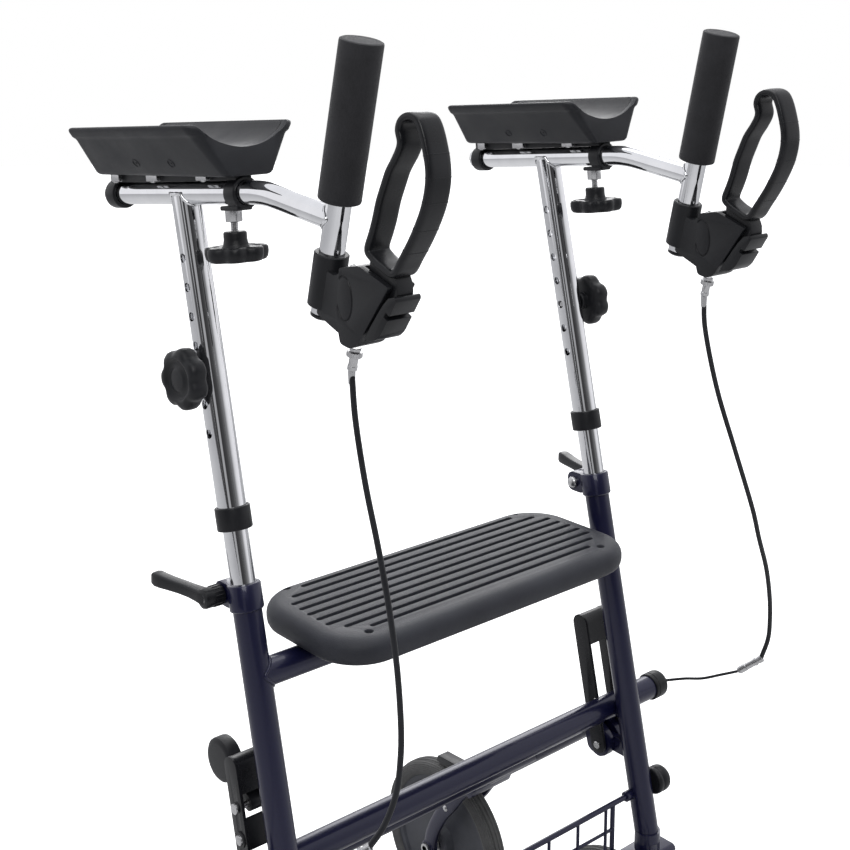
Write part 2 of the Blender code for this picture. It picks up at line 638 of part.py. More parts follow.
def build_middle():
    frame = centre_frame()
    sides = [side_frame(side) for side in (-1, 1)]
    def tube(radius, wall, reach, at, sides):
        skin = [(radius, -reach), (radius, reach), (radius - wall, reach), (radius - wall, -reach)]
        return turned(skin, sides, X_AXIS, at, ring=True)

    bar = tube(POST_R, 1.5, 290, (0, *CROSSBAR), FINE)
    piece("crossbar", bar, frame, "blue")

    seat_tube = piece("seat_tube", tube(POST_R, 1.5, 221, (0, *SEAT_TUBE), FINE), frame, "blue")
    for side in sides:
        cut(seat_tube, side, rod(POST_R + 0.3, -420, -320, POST_AXIS, sides=FINE))

    rings = []
    for z, inset in ((SEAT_Z - 26, 6), (SEAT_Z - 20, 1), (SEAT_Z - 9, 0), (SEAT_Z - 3, 2),
                     (SEAT_Z, 7)):
        flat = rounded(-186 + inset, 186 - inset, -163 + inset, -10 - inset, 48 - inset, 4)
        rings.append([(x, y, z) for x, y in flat])
    seat = piece("seat", lofted(rings), frame, "seat", (0, *SEAT_TUBE))
    for x in (-116, 104):
        add(seat, frame, rod(16.5, x, x + 12, X_AXIS, (0, *SEAT_TUBE), MID))
    cut(seat, frame, rod(POST_R + 0.3, -150, 150, X_AXIS, (0, *SEAT_TUBE), FINE))

    share = (8.0 - LEG_TOP[1]) / (LEG_FOOT[1] - LEG_TOP[1])
    height = LEG_TOP[2] + share * (LEG_FOOT[2] - LEG_TOP[2])
    rear = piece("rear_cross_tube", tube(9.5, 1.5, 213, (0, 8, height), MID), frame, "blue")
    for side in sides:
        cut(rear, side, piped([LEG_TOP, LEG_FOOT], 11.4, MID))

    def box(x, y0, y1, z0, z1):
        flat = rounded(-x, x, y0, y1, 12, 2)
        return lofted([[(px, py, z) for px, py in flat] for z in (z0, z1)])

    basket = piece("basket", box(184, -258, -134, -695, -666), frame, "black")
    back = plate([(-140, -690), (-140, -610), (-134, -610), (-134, -690)], -184, 184)
    add(basket, frame, back)
    for low, high in ((-209.4, -183), (183, 209.4)):
        add(basket, frame, rod(2.9, low, high, X_AXIS, (0, -137, -613), 10))
    cut(basket, frame, box(181, -255, -141, -692, -600))

    right = side_frame(-1)
    pin = (0, *LATCH_PIN)
    bar = plate(capsule(LATCH_PIN, (-34, -460), 7), -7, 7)
    lever = piece("fold_lever", bar, right, "black", pin)
    disc = turned([(18, -7.5), (20.5, -5), (20.5, 5), (18, 7.5)], FINE, X_AXIS, (0, -27, -457))
    add(lever, right, disc, rod(3.0, -20, 20.5, X_AXIS, pin, 8))


build_side(-1, "right_")
build_side(1, "left_")
build_middle()
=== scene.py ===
"""Looks of the walking frame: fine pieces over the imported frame, with studio light."""
import math

import bmesh
import bpy
from mathutils import Matrix, Vector


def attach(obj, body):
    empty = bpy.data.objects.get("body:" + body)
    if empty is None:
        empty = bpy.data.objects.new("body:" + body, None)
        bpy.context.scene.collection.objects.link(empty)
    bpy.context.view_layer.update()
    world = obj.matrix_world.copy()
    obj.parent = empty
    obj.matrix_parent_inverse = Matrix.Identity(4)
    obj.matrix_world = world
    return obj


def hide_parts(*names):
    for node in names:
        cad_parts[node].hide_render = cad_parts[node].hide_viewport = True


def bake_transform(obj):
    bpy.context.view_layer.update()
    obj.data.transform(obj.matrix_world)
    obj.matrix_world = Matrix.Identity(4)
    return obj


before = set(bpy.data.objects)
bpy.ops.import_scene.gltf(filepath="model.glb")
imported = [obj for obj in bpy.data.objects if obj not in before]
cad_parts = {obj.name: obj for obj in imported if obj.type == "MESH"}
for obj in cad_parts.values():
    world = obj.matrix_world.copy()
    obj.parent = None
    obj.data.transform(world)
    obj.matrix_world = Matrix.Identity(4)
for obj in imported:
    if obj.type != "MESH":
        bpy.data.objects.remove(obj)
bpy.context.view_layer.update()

# ---- camera --------------------------------------------------------------

EYE = Vector((-0.8528, -1.00105, 1.1144))
YAW = math.radians(49.107)
PITCH = math.radians(-10.047)
SENSOR = 36.0
LENS = 1404.5 / 850 * SENSOR


def make_camera():
    look = Vector((math.cos(PITCH) * math.cos(YAW), math.cos(PITCH) * math.sin(YAW),
                   math.sin(PITCH)))
    data = bpy.data.cameras.new("camera")
    data.lens = LENS
    data.sensor_width = SENSOR
    data.shift_y = -0.2
    data.clip_start = 0.05
    cam = bpy.data.objects.new("camera", data)
    cam.location = EYE
    cam.rotation_euler = look.to_track_quat("-Z", "Y").to_euler()
    bpy.context.scene.collection.objects.link(cam)
    bpy.context.scene.camera = cam


make_camera()

# ---- dimensions, millimetres --------------------------------------------

MM = 0.001
TOP_HOLE_Z = 902.0
TOP_HOLE_Y = 29.35
POST_X = 222.7
LEAN = math.radians(12.9)
TOE_IN = math.radians(2.6)
HOLE_PITCH = 25.4
POST_R = 12.7
POST_BORE = 11.3
ARM_R = 10.0
HOUSING_HALF = 13.5
ARM_TILT = math.radians(5.66)
GRIP_TILT = math.radians(12.2)
GRIP_LEN = 123.7
SEAT_Z = -317.0
SEAT_TUBE = (-81.6, -356.0)
CROSSBAR = (-95.0, -532.0)
FOLD_PIVOT = (-94.0, -572.0)
LEVER_PIVOT = (-247.0, 0.0)
REAR_HUB = (-17.7, 152.0, -802.0)
FRONT_HUB = (0.0, -113.0, -802.0)
CASTOR_Y = -151.0
LEG_TOP = (0.0, -77.6, -556.0)
LEG_FOOT = (-17.7, 85.0, -690.0)
BRAKE_PIN = (-17.7, 103.0, -694.0)
CLAMP_BOLT = (-45.0, -290.0)
LATCH_PIN = (-72.5, -478.0)

X_AXIS = Vector((1, 0, 0))
Y_AXIS = Vector((0, 1, 0))
Z_AXIS = Vector((0, 0, 1))
ZERO = Vector((0, 0, 0))
POST_AXIS = Vector((0, math.sin(LEAN), math.cos(LEAN)))
ARM_AXIS = Vector((0, math.cos(ARM_TILT), -math.sin(ARM_TILT)))
ARM_UP = Vector((0, math.sin(ARM_TILT), math.cos(ARM_TILT)))
TROUGH_RISE = 0.0243
TROUGH_AXIS = (ARM_AXIS + ARM_UP * TROUGH_RISE).normalized()
ARM_MID = Vector((0, 0, 55.2))
GRIP_AXIS = Vector((0, -math.sin(GRIP_TILT), math.cos(GRIP_TILT)))
GRIP_FOOT = Vector((0, -193.5, 67.7))

# ---- materials -----------------------------------------------------------


class Nodes:
    """Short hand for building a node material."""

    def __init__(self, name):
        self.mat = bpy.data.materials.new(name)
        self.mat.use_nodes = True
        self.tree = self.mat.node_tree
        self.shader = self.tree.nodes["Principled BSDF"]
        self.coords = self.tree.nodes.new("ShaderNodeTexCoord").outputs["Object"]

    def node(self, kind, **values):
        item = self.tree.nodes.new(kind)
        for key, value in values.items():
            if key in item.inputs:
                item.inputs[key].default_value = value
            else:
                setattr(item, key, value)
        return item

    def link(self, out, socket):
        self.tree.links.new(out, socket)

    def noise(self, scale, detail=3.0, rough=0.5, stretch=None):
        item = self.node("ShaderNodeTexNoise", Scale=scale, Detail=detail, Roughness=rough)
        if stretch:
            mapping = self.node("ShaderNodeMapping")
            mapping.inputs["Scale"].default_value = stretch
            self.link(self.coords, mapping.inputs["Vector"])
            self.link(mapping.outputs["Vector"], item.inputs["Vector"])
        else:
            self.link(self.coords, item.inputs["Vector"])
        return item.outputs["Fac"]

    def cells(self, scale, feature="F1"):
        item = self.node("ShaderNodeTexVoronoi", Scale=scale, feature=feature)
        self.link(self.coords, item.inputs["Vector"])
        return item.outputs["Distance"]

    def ramp(self, source, low, high, start=0.3, stop=0.7):
        """A value or colour between two stops."""
        item = self.node("ShaderNodeValToRGB")
        tones = []
        for tone in (low, high):
            tones.append((*tone, 1) if isinstance(tone, tuple) else (tone, tone, tone, 1))
        item.color_ramp.elements[0].position = start
        item.color_ramp.elements[1].position = stop
        item.color_ramp.elements[0].color = tones[0]
        item.color_ramp.elements[1].color = tones[1]
        self.link(source, item.inputs["Fac"])
        return item.outputs["Color"]

    def bump(self, source, strength, distance, under=None):
        item = self.node("ShaderNodeBump", Strength=strength, Distance=distance)
        self.link(source, item.inputs["Height"])
        if under is not None:
            self.link(under, item.inputs["Normal"])
        return item.outputs["Normal"]

    def set(self, **values):
        for key, value in values.items():
            socket = self.shader.inputs[key.replace("_", " ")]
            if hasattr(value, "is_linked"):
                self.link(value, socket)
            else:
                socket.default_value = value
        return self


def chrome():
    n = Nodes("chrome")
    haze = n.noise(38, 4, 0.6)
    fine = n.noise(900, 2, 0.5)
    n.set(Base_Color=n.ramp(haze, (0.74, 0.745, 0.76), (0.83, 0.835, 0.85)), Metallic=1.0,
          Roughness=n.ramp(haze, 0.035, 0.085, 0.35, 0.75),
          Normal=n.bump(fine, 0.03, 0.0002))
    return n.mat


def steel(name="steel", tone=0.62, rough=0.28):
    n = Nodes(name)
    grain = n.noise(700, 3, 0.6, (1, 1, 6))
    n.set(Base_Color=n.ramp(grain, (tone * 0.85,) * 3, (tone, tone, tone * 1.02)), Metallic=1.0,
          Roughness=n.ramp(grain, rough * 0.8, rough * 1.3), Normal=n.bump(grain, 0.06, 0.0003))
    return n.mat


def blue_paint():
    n = Nodes("blue_paint")
    flake = n.cells(5200)
    peel = n.noise(420, 2, 0.5)
    cloud = n.noise(9, 3, 0.5)
    base = n.node("ShaderNodeMix", data_type="RGBA")
    n.link(n.ramp(flake, 1.0, 0.0, 0.05, 0.35), base.inputs[0])
    base.inputs[6].default_value = (0.0055, 0.0060, 0.030, 1)
    base.inputs[7].default_value = (0.017, 0.019, 0.082, 1)
    n.set(Base_Color=base.outputs[2], Metallic=0.25, Roughness=n.ramp(cloud, 0.30, 0.40),
          Specular_IOR_Level=0.3, Coat_Weight=0.5, Coat_Roughness=0.08,
          Normal=n.bump(peel, 0.10, 0.0006))
    return n.mat


def plastic(name, tone, low, high, grain=2600, depth=0.16, sheen=0.0, tint=(0.92, 0.97, 1.16)):
    n = Nodes(name)
    fine = n.noise(grain, 3, 0.6)
    wide = n.noise(26, 4, 0.6)
    dark = tuple(tone * 0.78 * t for t in tint)
    pale = tuple(tone * 1.25 * t for t in tint)
    n.set(Base_Color=n.ramp(wide, dark, pale), Roughness=n.ramp(wide, low, high),
          Normal=n.bump(fine, depth, 0.0004), Sheen_Weight=sheen, Specular_IOR_Level=0.28)
    return n.mat


def foam():
    n = Nodes("foam")
    pores = n.cells(2300)
    wide = n.noise(60, 4, 0.6)
    fine = n.noise(5200, 2, 0.6)
    under = n.bump(pores, 0.22, 0.0005)
    n.set(Base_Color=n.ramp(wide, (0.008, 0.008, 0.010), (0.014, 0.014, 0.017)),
          Roughness=n.ramp(pores, 0.62, 0.82, 0.1, 0.6), Normal=n.bump(fine, 0.18, 0.0004, under),
          Sheen_Weight=0.12, Sheen_Roughness=0.4)
    return n.mat


def seat_plastic():
    n = Nodes("seat_plastic")
    grain = n.noise(1500, 4, 0.65)
    leather = n.cells(900, "SMOOTH_F1")
    wide = n.noise(14, 4, 0.6)
    under = n.bump(leather, 0.25, 0.0006)
    n.set(Base_Color=n.ramp(wide, (0.017, 0.018, 0.024), (0.027, 0.029, 0.037)),
          Roughness=n.ramp(grain, 0.40, 0.58), Specular_IOR_Level=0.32,
          Normal=n.bump(grain, 0.35, 0.0007, under))
    return n.mat


def rubber(name, tone, low=0.62, high=0.82):
    n = Nodes(name)
    dust = n.noise(90, 5, 0.65)
    fine = n.noise(1900, 3, 0.6)
    n.set(Base_Color=n.ramp(dust, (tone * 0.8,) * 3, (tone * 1.35,) * 3),
          Roughness=n.ramp(dust, low, high), Normal=n.bump(fine, 0.25, 0.0006))
    return n.mat


CHROME = chrome()
STEEL = steel()
ZINC = steel("zinc", 0.55, 0.24)
BLUE = blue_paint()
BLACK = plastic("black_plastic", 0.0100, 0.30, 0.46)
SATIN = plastic("satin_black", 0.0090, 0.24, 0.38, 1400, 0.10)
PANEL = plastic("trough_plastic", 0.0165, 0.40, 0.56, 1700, 0.30)
PAD = plastic("trough_pad", 0.0120, 0.36, 0.50, 1300, 0.22)
FOAM = foam()
SEAT = seat_plastic()
SHEATH = plastic("cable_sheath", 0.016, 0.30, 0.42, 3000, 0.06)
TYRE = rubber("tyre", 0.075)
RIM = plastic("rim_plastic", 0.060, 0.36, 0.50, 1500, 0.12)
PAINT_BLACK = plastic("black_paint", 0.010, 0.22, 0.34, 500, 0.10)

# ---- frames of reference -------------------------------------------------


def centre_frame():
    lift = Matrix.Translation((0, TOP_HOLE_Y, TOP_HOLE_Z))
    return Matrix.Scale(MM, 4) @ lift


def side_frame(side):
    flip = Matrix.Diagonal((side, 1, 1, 1))
    return centre_frame() @ flip @ Matrix.Translation((POST_X, 0, 0))


def handle_frame(side):
    return side_frame(side) @ Matrix.Rotation(-TOE_IN, 4, POST_AXIS)


def on_post(t):
    return POST_AXIS * t


def on_trough(a, b, o=0.0):
    """A point over the forearm tube in the trough's own, slightly climbing frame."""
    return on_arm(a, b + (a + 75.0) * TROUGH_RISE, o)


def on_arm(a, b, o=0.0):
    return ARM_MID + ARM_AXIS * a + ARM_UP * b + X_AXIS * o


# ---- shapes --------------------------------------------------------------


def square_to(axis):
    guide = Z_AXIS + Y_AXIS if abs(axis.z) < 0.9 else X_AXIS
    return (guide - axis * guide.dot(axis)).normalized()


def circle(at, out, across, radius, sides):
    """Points round a centre, in the plane of two square directions."""
    turns = [2 * math.pi * k / sides for k in range(sides)]
    return [at + radius * (out * math.cos(t) + across * math.sin(t)) for t in turns]


def squarish(at, wide_way, tall_way, sizes, powers, sides):
    """A rounded rectangle of points; smaller powers make squarer corners."""
    ring = []
    for k in range(sides):
        turn = 2 * math.pi * k / sides
        u, v = [math.copysign(abs(part) ** power, part) * size for part, power, size
                in zip((math.cos(turn), math.sin(turn)), powers, sizes)]
        ring.append(at + wide_way * u + tall_way * v)
    return ring


def fill_open_ends(bm):
    rim = [edge for edge in bm.edges if edge.is_boundary]
    if rim:
        bmesh.ops.holes_fill(bm, edges=rim, sides=0)
    return bm


def eased(points, radius, steps=4, closed=False):
    """Round the corners of a 2-D line by radius, one for all or one each."""
    points = [Vector(p) for p in points]
    radii = radius if isinstance(radius, (list, tuple)) else [radius] * len(points)
    result = []
    last = len(points) - 1
    for i, at in enumerate(points):
        if not closed and i in (0, last) or radii[i] <= 0:
            result.append(tuple(at))
            continue
        before = points[i - 1] - at
        after = points[(i + 1) % len(points)] - at
        reach = min(radii[i], before.length * 0.48, after.length * 0.48)
        start = at + before.normalized() * reach
        stop = at + after.normalized() * reach
        for k in range(steps + 1):
            t = k / steps
            result.append(tuple(start.lerp(at, t).lerp(at.lerp(stop, t), t)))
    return result


def turned(profile, sides, axis, base=ZERO, ring=False, ease=0.0):
    bm = bmesh.new()
    axis = Vector(axis).normalized()
    base = Vector(base)
    out = square_to(axis)
    if ease:
        profile = eased(profile, ease, 3, ring)
    verts = [bm.verts.new(base + out * r + axis * h) for r, h in profile]
    edges = [bm.edges.new(pair) for pair in zip(verts, verts[1:])]
    if ring:
        edges.append(bm.edges.new((verts[-1], verts[0])))
    bmesh.ops.spin(bm, geom=verts + edges, cent=base, axis=axis,
                   angle=2 * math.pi, steps=sides, use_merge=False)
    bmesh.ops.remove_doubles(bm, verts=bm.verts, dist=0.012)
    return fill_open_ends(bm)


def rod(radius, low, high, axis, base=ZERO, sides=48, ease=0.0):
    if ease:
        line = [(radius - ease, low), (radius, low + ease), (radius, high - ease),
                (radius - ease, high)]
        return turned(line, sides, axis, base)
    return turned([(radius, low), (radius, high)], sides, axis, base)


def lofted(rings, closed=False):
    """Skin over rings of points, joined round or else capped at both ends."""
    bm = bmesh.new()
    rows = [[bm.verts.new(point) for point in ring] for ring in rings]
    count = len(rows[0])
    for low, high in zip(rows, rows[1:] + rows[:1] if closed else rows[1:]):
        for k in range(count):
            n = (k + 1) % count
            bm.faces.new((low[k], low[n], high[n], high[k]))
    if not closed:
        bm.faces.new(rows[0][::-1])
        bm.faces.new(rows[-1])
    return bm


def piped(path, radii, sides=24):
    """A round bar along a path."""
    points = [Vector(p) for p in path]
    if not isinstance(radii, (list, tuple)):
        radii = [radii] * len(points)
    legs = [(b - a).normalized() for a, b in zip(points, points[1:])]
    heads = [legs[0]]
    heads += [(a + b).normalized() for a, b in zip(legs, legs[1:])]
    heads.append(legs[-1])
    out = square_to(heads[0])
    rings = []
    for i, (point, head, radius) in enumerate(zip(points, heads, radii)):
        if i:
            out = heads[i - 1].rotation_difference(head) @ out
        rings.append(circle(point, out, head.cross(out), radius, sides))
    return lofted(rings)


def plate(outline, low, high):
    return lofted([[(across, y, z) for y, z in outline] for across in (low, high)])


def arc(centre, radius, start, stop, steps):
    points = []
    for k in range(steps + 1):
        angle = math.radians(start + (stop - start) * k / steps)
        y = centre[0] + radius * math.cos(angle)
        z = centre[1] + radius * math.sin(angle)
        points.append((y, z))
    return points


def capsule(first, last, radius, steps=14):
    along = math.degrees(math.atan2(last[1] - first[1], last[0] - first[0]))
    ends = arc(last, radius, along - 90, along + 90, steps)
    return ends + arc(first, radius, along + 90, along + 270, steps)


def rounded(x0, x1, y0, y1, radius, steps):
    corners = [(x1 - radius, y1 - radius, 0), (x0 + radius, y1 - radius, 90),
               (x0 + radius, y0 + radius, 180), (x1 - radius, y0 + radius, 270)]
    points = []
    for cx, cy, start in corners:
        points += arc((cx, cy), radius, start, start + 90, steps)
    return points


def curve_through(points, spacing):
    nodes = [Vector(p) for p in points]
    nodes = [2 * nodes[0] - nodes[1]] + nodes + [2 * nodes[-1] - nodes[-2]]
    fine = []
    for p0, p1, p2, p3 in zip(nodes, nodes[1:], nodes[2:], nodes[3:]):
        for k in range(20):
            t = k / 20
            a = 2 * p1 + (p2 - p0) * t
            b = (2 * p0 - 5 * p1 + 4 * p2 - p3) * t * t
            c = (3 * p1 - p0 - 3 * p2 + p3) * t * t * t
            fine.append((a + b + c) / 2)
    fine.append(nodes[-2])
    total = sum((b - a).length for a, b in zip(fine, fine[1:]))
    count = max(2, round(total / spacing))
    result = [fine[0]]
    run = 0.0
    for a, b in zip(fine, fine[1:]):
        step = (b - a).length
        while len(result) < count and run + step >= total * len(result) / count:
            part = (total * len(result) / count - run) / step
            result.append(a.lerp(b, part))
        run += step
    result.append(fine[-1])
    return result


def flat_curve(points, spacing):
    """curve_through for (y, z) points."""
    line = curve_through([(0, y, z) for y, z in points], spacing)
    return [(p.y, p.z) for p in line]


# ---- objects -------------------------------------------------------------


def loose(name, bm, place, mat, sharp=35):
    """An object from a mesh in millimetres."""
    bmesh.ops.recalc_face_normals(bm, faces=bm.faces)
    bm.transform(place)
    if bm.calc_volume(signed=True) < 0:
        bmesh.ops.reverse_faces(bm, faces=bm.faces)
    mesh = bpy.data.meshes.new(name)
    bm.to_mesh(mesh)
    bm.free()
    mesh.materials.append(mat)
    mesh.shade_smooth()
    mesh.set_sharp_from_angle(angle=math.radians(sharp))
    obj = bpy.data.objects.new(name, mesh)
    bpy.context.scene.collection.objects.link(obj)
    return obj


def bake(obj, sharp=35):
    """Apply the modifiers and shade smooth."""
    bpy.context.view_layer.update()
    graph = bpy.context.evaluated_depsgraph_get()
    mesh = bpy.data.meshes.new_from_object(obj.evaluated_get(graph), depsgraph=graph)
    obj.modifiers.clear()
    obj.data = mesh
    mesh.shade_smooth()
    mesh.set_sharp_from_angle(angle=math.radians(sharp))
    return obj


def shape(obj, place, plus=(), minus=()):
    """Join and cut with booleans, then apply them."""
    tools = []
    for operation, group in (("UNION", plus), ("DIFFERENCE", minus)):
        for bm in group:
            tool = loose("tool", bm, place, obj.data.materials[0])
            tools.append(tool)
            mod = obj.modifiers.new("cut", "BOOLEAN")
            mod.operation = operation
            mod.solver = "EXACT"
            mod.object = tool
    bake(obj)
    for tool in tools:
        bpy.data.objects.remove(tool, do_unlink=True)
    return obj


def bevel(obj, width, segments=3, angle=30, sharp=35):
    mod = obj.modifiers.new("bevel", "BEVEL")
    mod.width = width * MM
    mod.segments = segments
    mod.limit_method = "ANGLE"
    mod.angle_limit = math.radians(angle)
    mod.harden_normals = False
    return bake(obj, sharp)


def put(obj, body, *nodes):
    """Ride on a body, and stand for CAD nodes."""
    if nodes:
        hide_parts(*nodes)
    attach(obj, body)
    return obj


def simple(name, bm, place, mat, body, *nodes, ease=0.0, sharp=35):
    obj = loose(name, bm, place, mat, sharp)
    if ease:
        bevel(obj, ease, sharp=sharp)
    return put(obj, body, *nodes)


def screw_head(name, at, axis, radius, height, place, body, hex_socket=True):
    """A domed screw with a hexagonal socket."""
    line = [(0.01, height), (radius * 0.55, height), (radius * 0.9, height * 0.7),
            (radius, height * 0.25), (radius, 0)]
    obj = loose(name, turned(line[::-1], 32, axis, at), place, ZINC)
    if hex_socket:
        socket = turned([(radius * 0.42, height * 0.35), (radius * 0.42, height * 3)], 6, axis,
                        at)
        shape(obj, place, minus=[socket])
    return put(obj, body)


# ---- chromed tubes -------------------------------------------------------


def build_tubes(label, place):
    body = label + "handle"
    outer = [(11.4, -234), (POST_R, -233), (POST_R, 53)]
    tube = loose(label + "handle_tube_fine", turned(outer, 64, POST_AXIS), place, CHROME)
    route = [on_arm(129, 0), on_arm(60, 0), on_arm(10, 0), on_arm(-60, 0), on_arm(-84, 0),
             on_arm(-94, -0.2), (0, -105, 64.3), (0, -118, 63.2), (0, -150, 58.9),
             (0, -188, 53.8)]
    arm = piped(curve_through(route, 4), ARM_R, 56)
    grip_tube = rod(ARM_R, -91.6, GRIP_LEN - 5, GRIP_AXIS, GRIP_FOOT, 56, 1.0)
    bore = rod(POST_BORE, -260, 26, POST_AXIS, sides=64)
    arm_bore = rod(8.6, 60, 140, ARM_AXIS, ARM_MID, 48)
    grip_bore = rod(8.6, -110, -70, GRIP_AXIS, GRIP_FOOT, 48)
    holes = [rod(4.0, -20, 20, X_AXIS, on_post(-HOLE_PITCH * k), 28) for k in range(7)]
    shape(tube, place, [arm, grip_tube], [bore, arm_bore, grip_bore, *holes])
    bake(tube, 40)
    put(tube, body, label + "handle_tube")

    weld_ring(label + "weld_upright", place, POST_AXIS, POST_R, ARM_MID, ARM_AXIS, ARM_R, body)
    bend_end = Vector((0, -150, 58.9))
    weld_ring(label + "weld_grip", place, Vector((0, -188, 53.8)) - bend_end, ARM_R, GRIP_FOOT,
              GRIP_AXIS, ARM_R, body, bend_end)
    plug = turned([(0.01, 131), (7, 131), (9.7, 130), (9.9, 129.2), (8.5, 129), (8.5, 120)],
                  40, ARM_AXIS, ARM_MID)
    simple(label + "arm_plug", plug, place, BLACK, body)
    cap = turned([(0.01, -95), (8, -95), (10.2, -93.5), (10.4, -92), (8.5, -91.5), (8.5, -80)],
                 40, GRIP_AXIS, GRIP_FOOT)
    simple(label + "grip_plug", cap, place, BLACK, body)

    inner = [(11.0, -465), (11.0, -37), (10.0, -36), (9.2, -36), (9.2, -465)]
    low = loose(label + "lower_tube_fine", turned(inner, 64, POST_AXIS, ring=True), place, CHROME)
    slot = [(on_post(t) + Vector((0, math.cos(LEAN), -math.sin(LEAN))) * w)
            for t, w in ((-157.5, -4.4), (-45.5, -4.4), (-45.5, 4.4), (-157.5, 4.4))]
    shape(low, place, minus=[plate([(p.y, p.z) for p in slot], -15, 15)])
    put(low, label + "lower_tube", label + "lower_tube")

    ring = [(15.5, -237.1), (15.5, -217.1), (POST_R + 0.2, -217.1), (POST_R + 0.2, -234.4),
            (11.2, -234.4), (11.2, -237.1)]
    simple(label + "tube_ring_fine", turned(ring, 64, POST_AXIS, ring=True, ease=1.1), place,
           BLACK, body, label + "tube_ring")


def weld_ring(name, place, axis, radius, other_at, other_axis, other_radius, body, at=ZERO):
    """A weld bead where one tube meets the skin of another."""
    axis = Vector(axis).normalized()
    other_axis = Vector(other_axis).normalized()
    out = square_to(axis)
    across = axis.cross(out)
    points = []
    round_tube = circle(at, out, across, radius, 48)
    for line in round_tube + round_tube[:1]:
        gap = line - other_at
        flat = gap - other_axis * gap.dot(other_axis)
        slope = axis - other_axis * axis.dot(other_axis)
        a = slope.length_squared
        b = 2 * flat.dot(slope)
        c = flat.length_squared - other_radius ** 2
        root = max(b * b - 4 * a * c, 0.0)
        points.append(line + axis * (-b - math.sqrt(root)) / (2 * a))
    wobble = [1.7 * (1 + 0.12 * math.sin(k * 2.1) + 0.08 * math.sin(k * 3.7))
              for k in range(49)]
    wobble[-1] = wobble[0]
    simple(name, piped(points, wobble, 10), place, CHROME, body, sharp=80)


# ---- knobs ---------------------------------------------------------------


def lobed_knob(radius, dip, lobes, levels, axis, at, steps=8):
    """A hand wheel: rings of (height, inset, lobe share) closed at both ends."""
    axis = Vector(axis).normalized()
    out = square_to(axis)
    across = axis.cross(out)
    rings = []
    count = lobes * steps
    for height, inset, share in levels:
        ring = []
        for k in range(count):
            turn = 2 * math.pi * k / count
            wave = 0.5 - 0.5 * math.cos(turn * lobes)
            reach = radius - inset - dip * share * wave ** 1.6
            point = Vector(at) + axis * height
            point += max(reach, 0.02) * (out * math.cos(turn) + across * math.sin(turn))
            ring.append(point)
        rings.append(ring)
    return lofted(rings)


def build_height_knob(label, place):
    at = on_post(-HOLE_PITCH * 4)
    body = label + "height_knob"
    levels = [(20, 7, 0.6), (20.4, 4, 0.9), (21.5, 1.6, 1), (24, 0.3, 1), (27, 0, 1),
              (31, 0, 1), (34, 0.8, 1), (36, 2.6, 1), (37, 5.5, 0.8), (37, 8, 0.3),
              (36.4, 9.5, 0), (34.6, 10.6, 0), (34.2, 12, 0), (34.4, 16, 0), (35.6, 17.4, 0),
              (36, 19, 0), (36, 26.9, 0)]
    knob = loose(label + "height_knob_fine", lobed_knob(27, 3.0, 7, levels, X_AXIS, at, 10),
                 place, BLACK, 50)
    put(knob, body, label + "height_knob")
    hub = turned([(8.2, 13.3), (9, 14), (9, 20), (12, 21)], 40, X_AXIS, at, ease=0.6)
    simple(label + "height_knob_hub", hub, place, BLACK, body)
    bolt = turned([(2.4, -10.6), (3.3, -9.8), (3.3, 14)], 24, X_AXIS, at)
    simple(label + "height_knob_bolt", bolt, place, ZINC, body)


def build_trough_knob(label, place):
    at = on_arm(-56.2, 0)
    body = label + "trough_knob"
    levels = [(-44.5, 24, 0), (-45.2, 16, 0), (-45.6, 9, 0.2), (-45.2, 5, 0.5), (-44.3, 2.5, 0.9),
              (-44.8, 1, 1), (-46.5, 0.1, 1), (-50, 0, 1), (-54, 0.8, 1), (-56.3, 2.6, 0.9),
              (-57, 5.5, 0.6), (-57, 26.9, 0)]
    wheel = loose(label + "trough_knob_fine", lobed_knob(27, 4.4, 7, levels, ARM_UP, at, 10),
                  place, BLACK, 50)
    put(wheel, body, label + "trough_knob")
    hub = turned([(12.5, -46.5), (10.6, -43), (9.8, -39), (9.8, -33.2), (9.0, -32)], 40, ARM_UP,
                 at, ease=0.8)
    simple(label + "trough_knob_hub", hub, place, BLACK, body)
    screw = turned([(3.0, -46), (3.0, -10.5)], 24, ARM_UP, at)
    simple(label + "trough_knob_screw", screw, place, ZINC, body)
    for k in range(5):
        h = -30.6 + k * 1.4
        thread = turned([(2.9, h), (3.28, h + 0.35), (3.28, h + 0.5), (2.9, h + 0.85)], 24,
                        ARM_UP, at)
        simple(f"{label}trough_knob_thread{k}", thread, place, ZINC, body)


# ---- forearm trough ------------------------------------------------------


def trough_ring(b, inset, corner, steps=8):
    share = (b - 14.0) / 43.5
    front = -84.0 + 7.0 * share + inset
    rear = 118.0 - 5.0 * share - inset
    half = 24.0 + 30.0 * share - inset
    flat = rounded(front, rear, -half, half, corner, steps)
    return [on_trough(a, b, o) for a, o in flat]


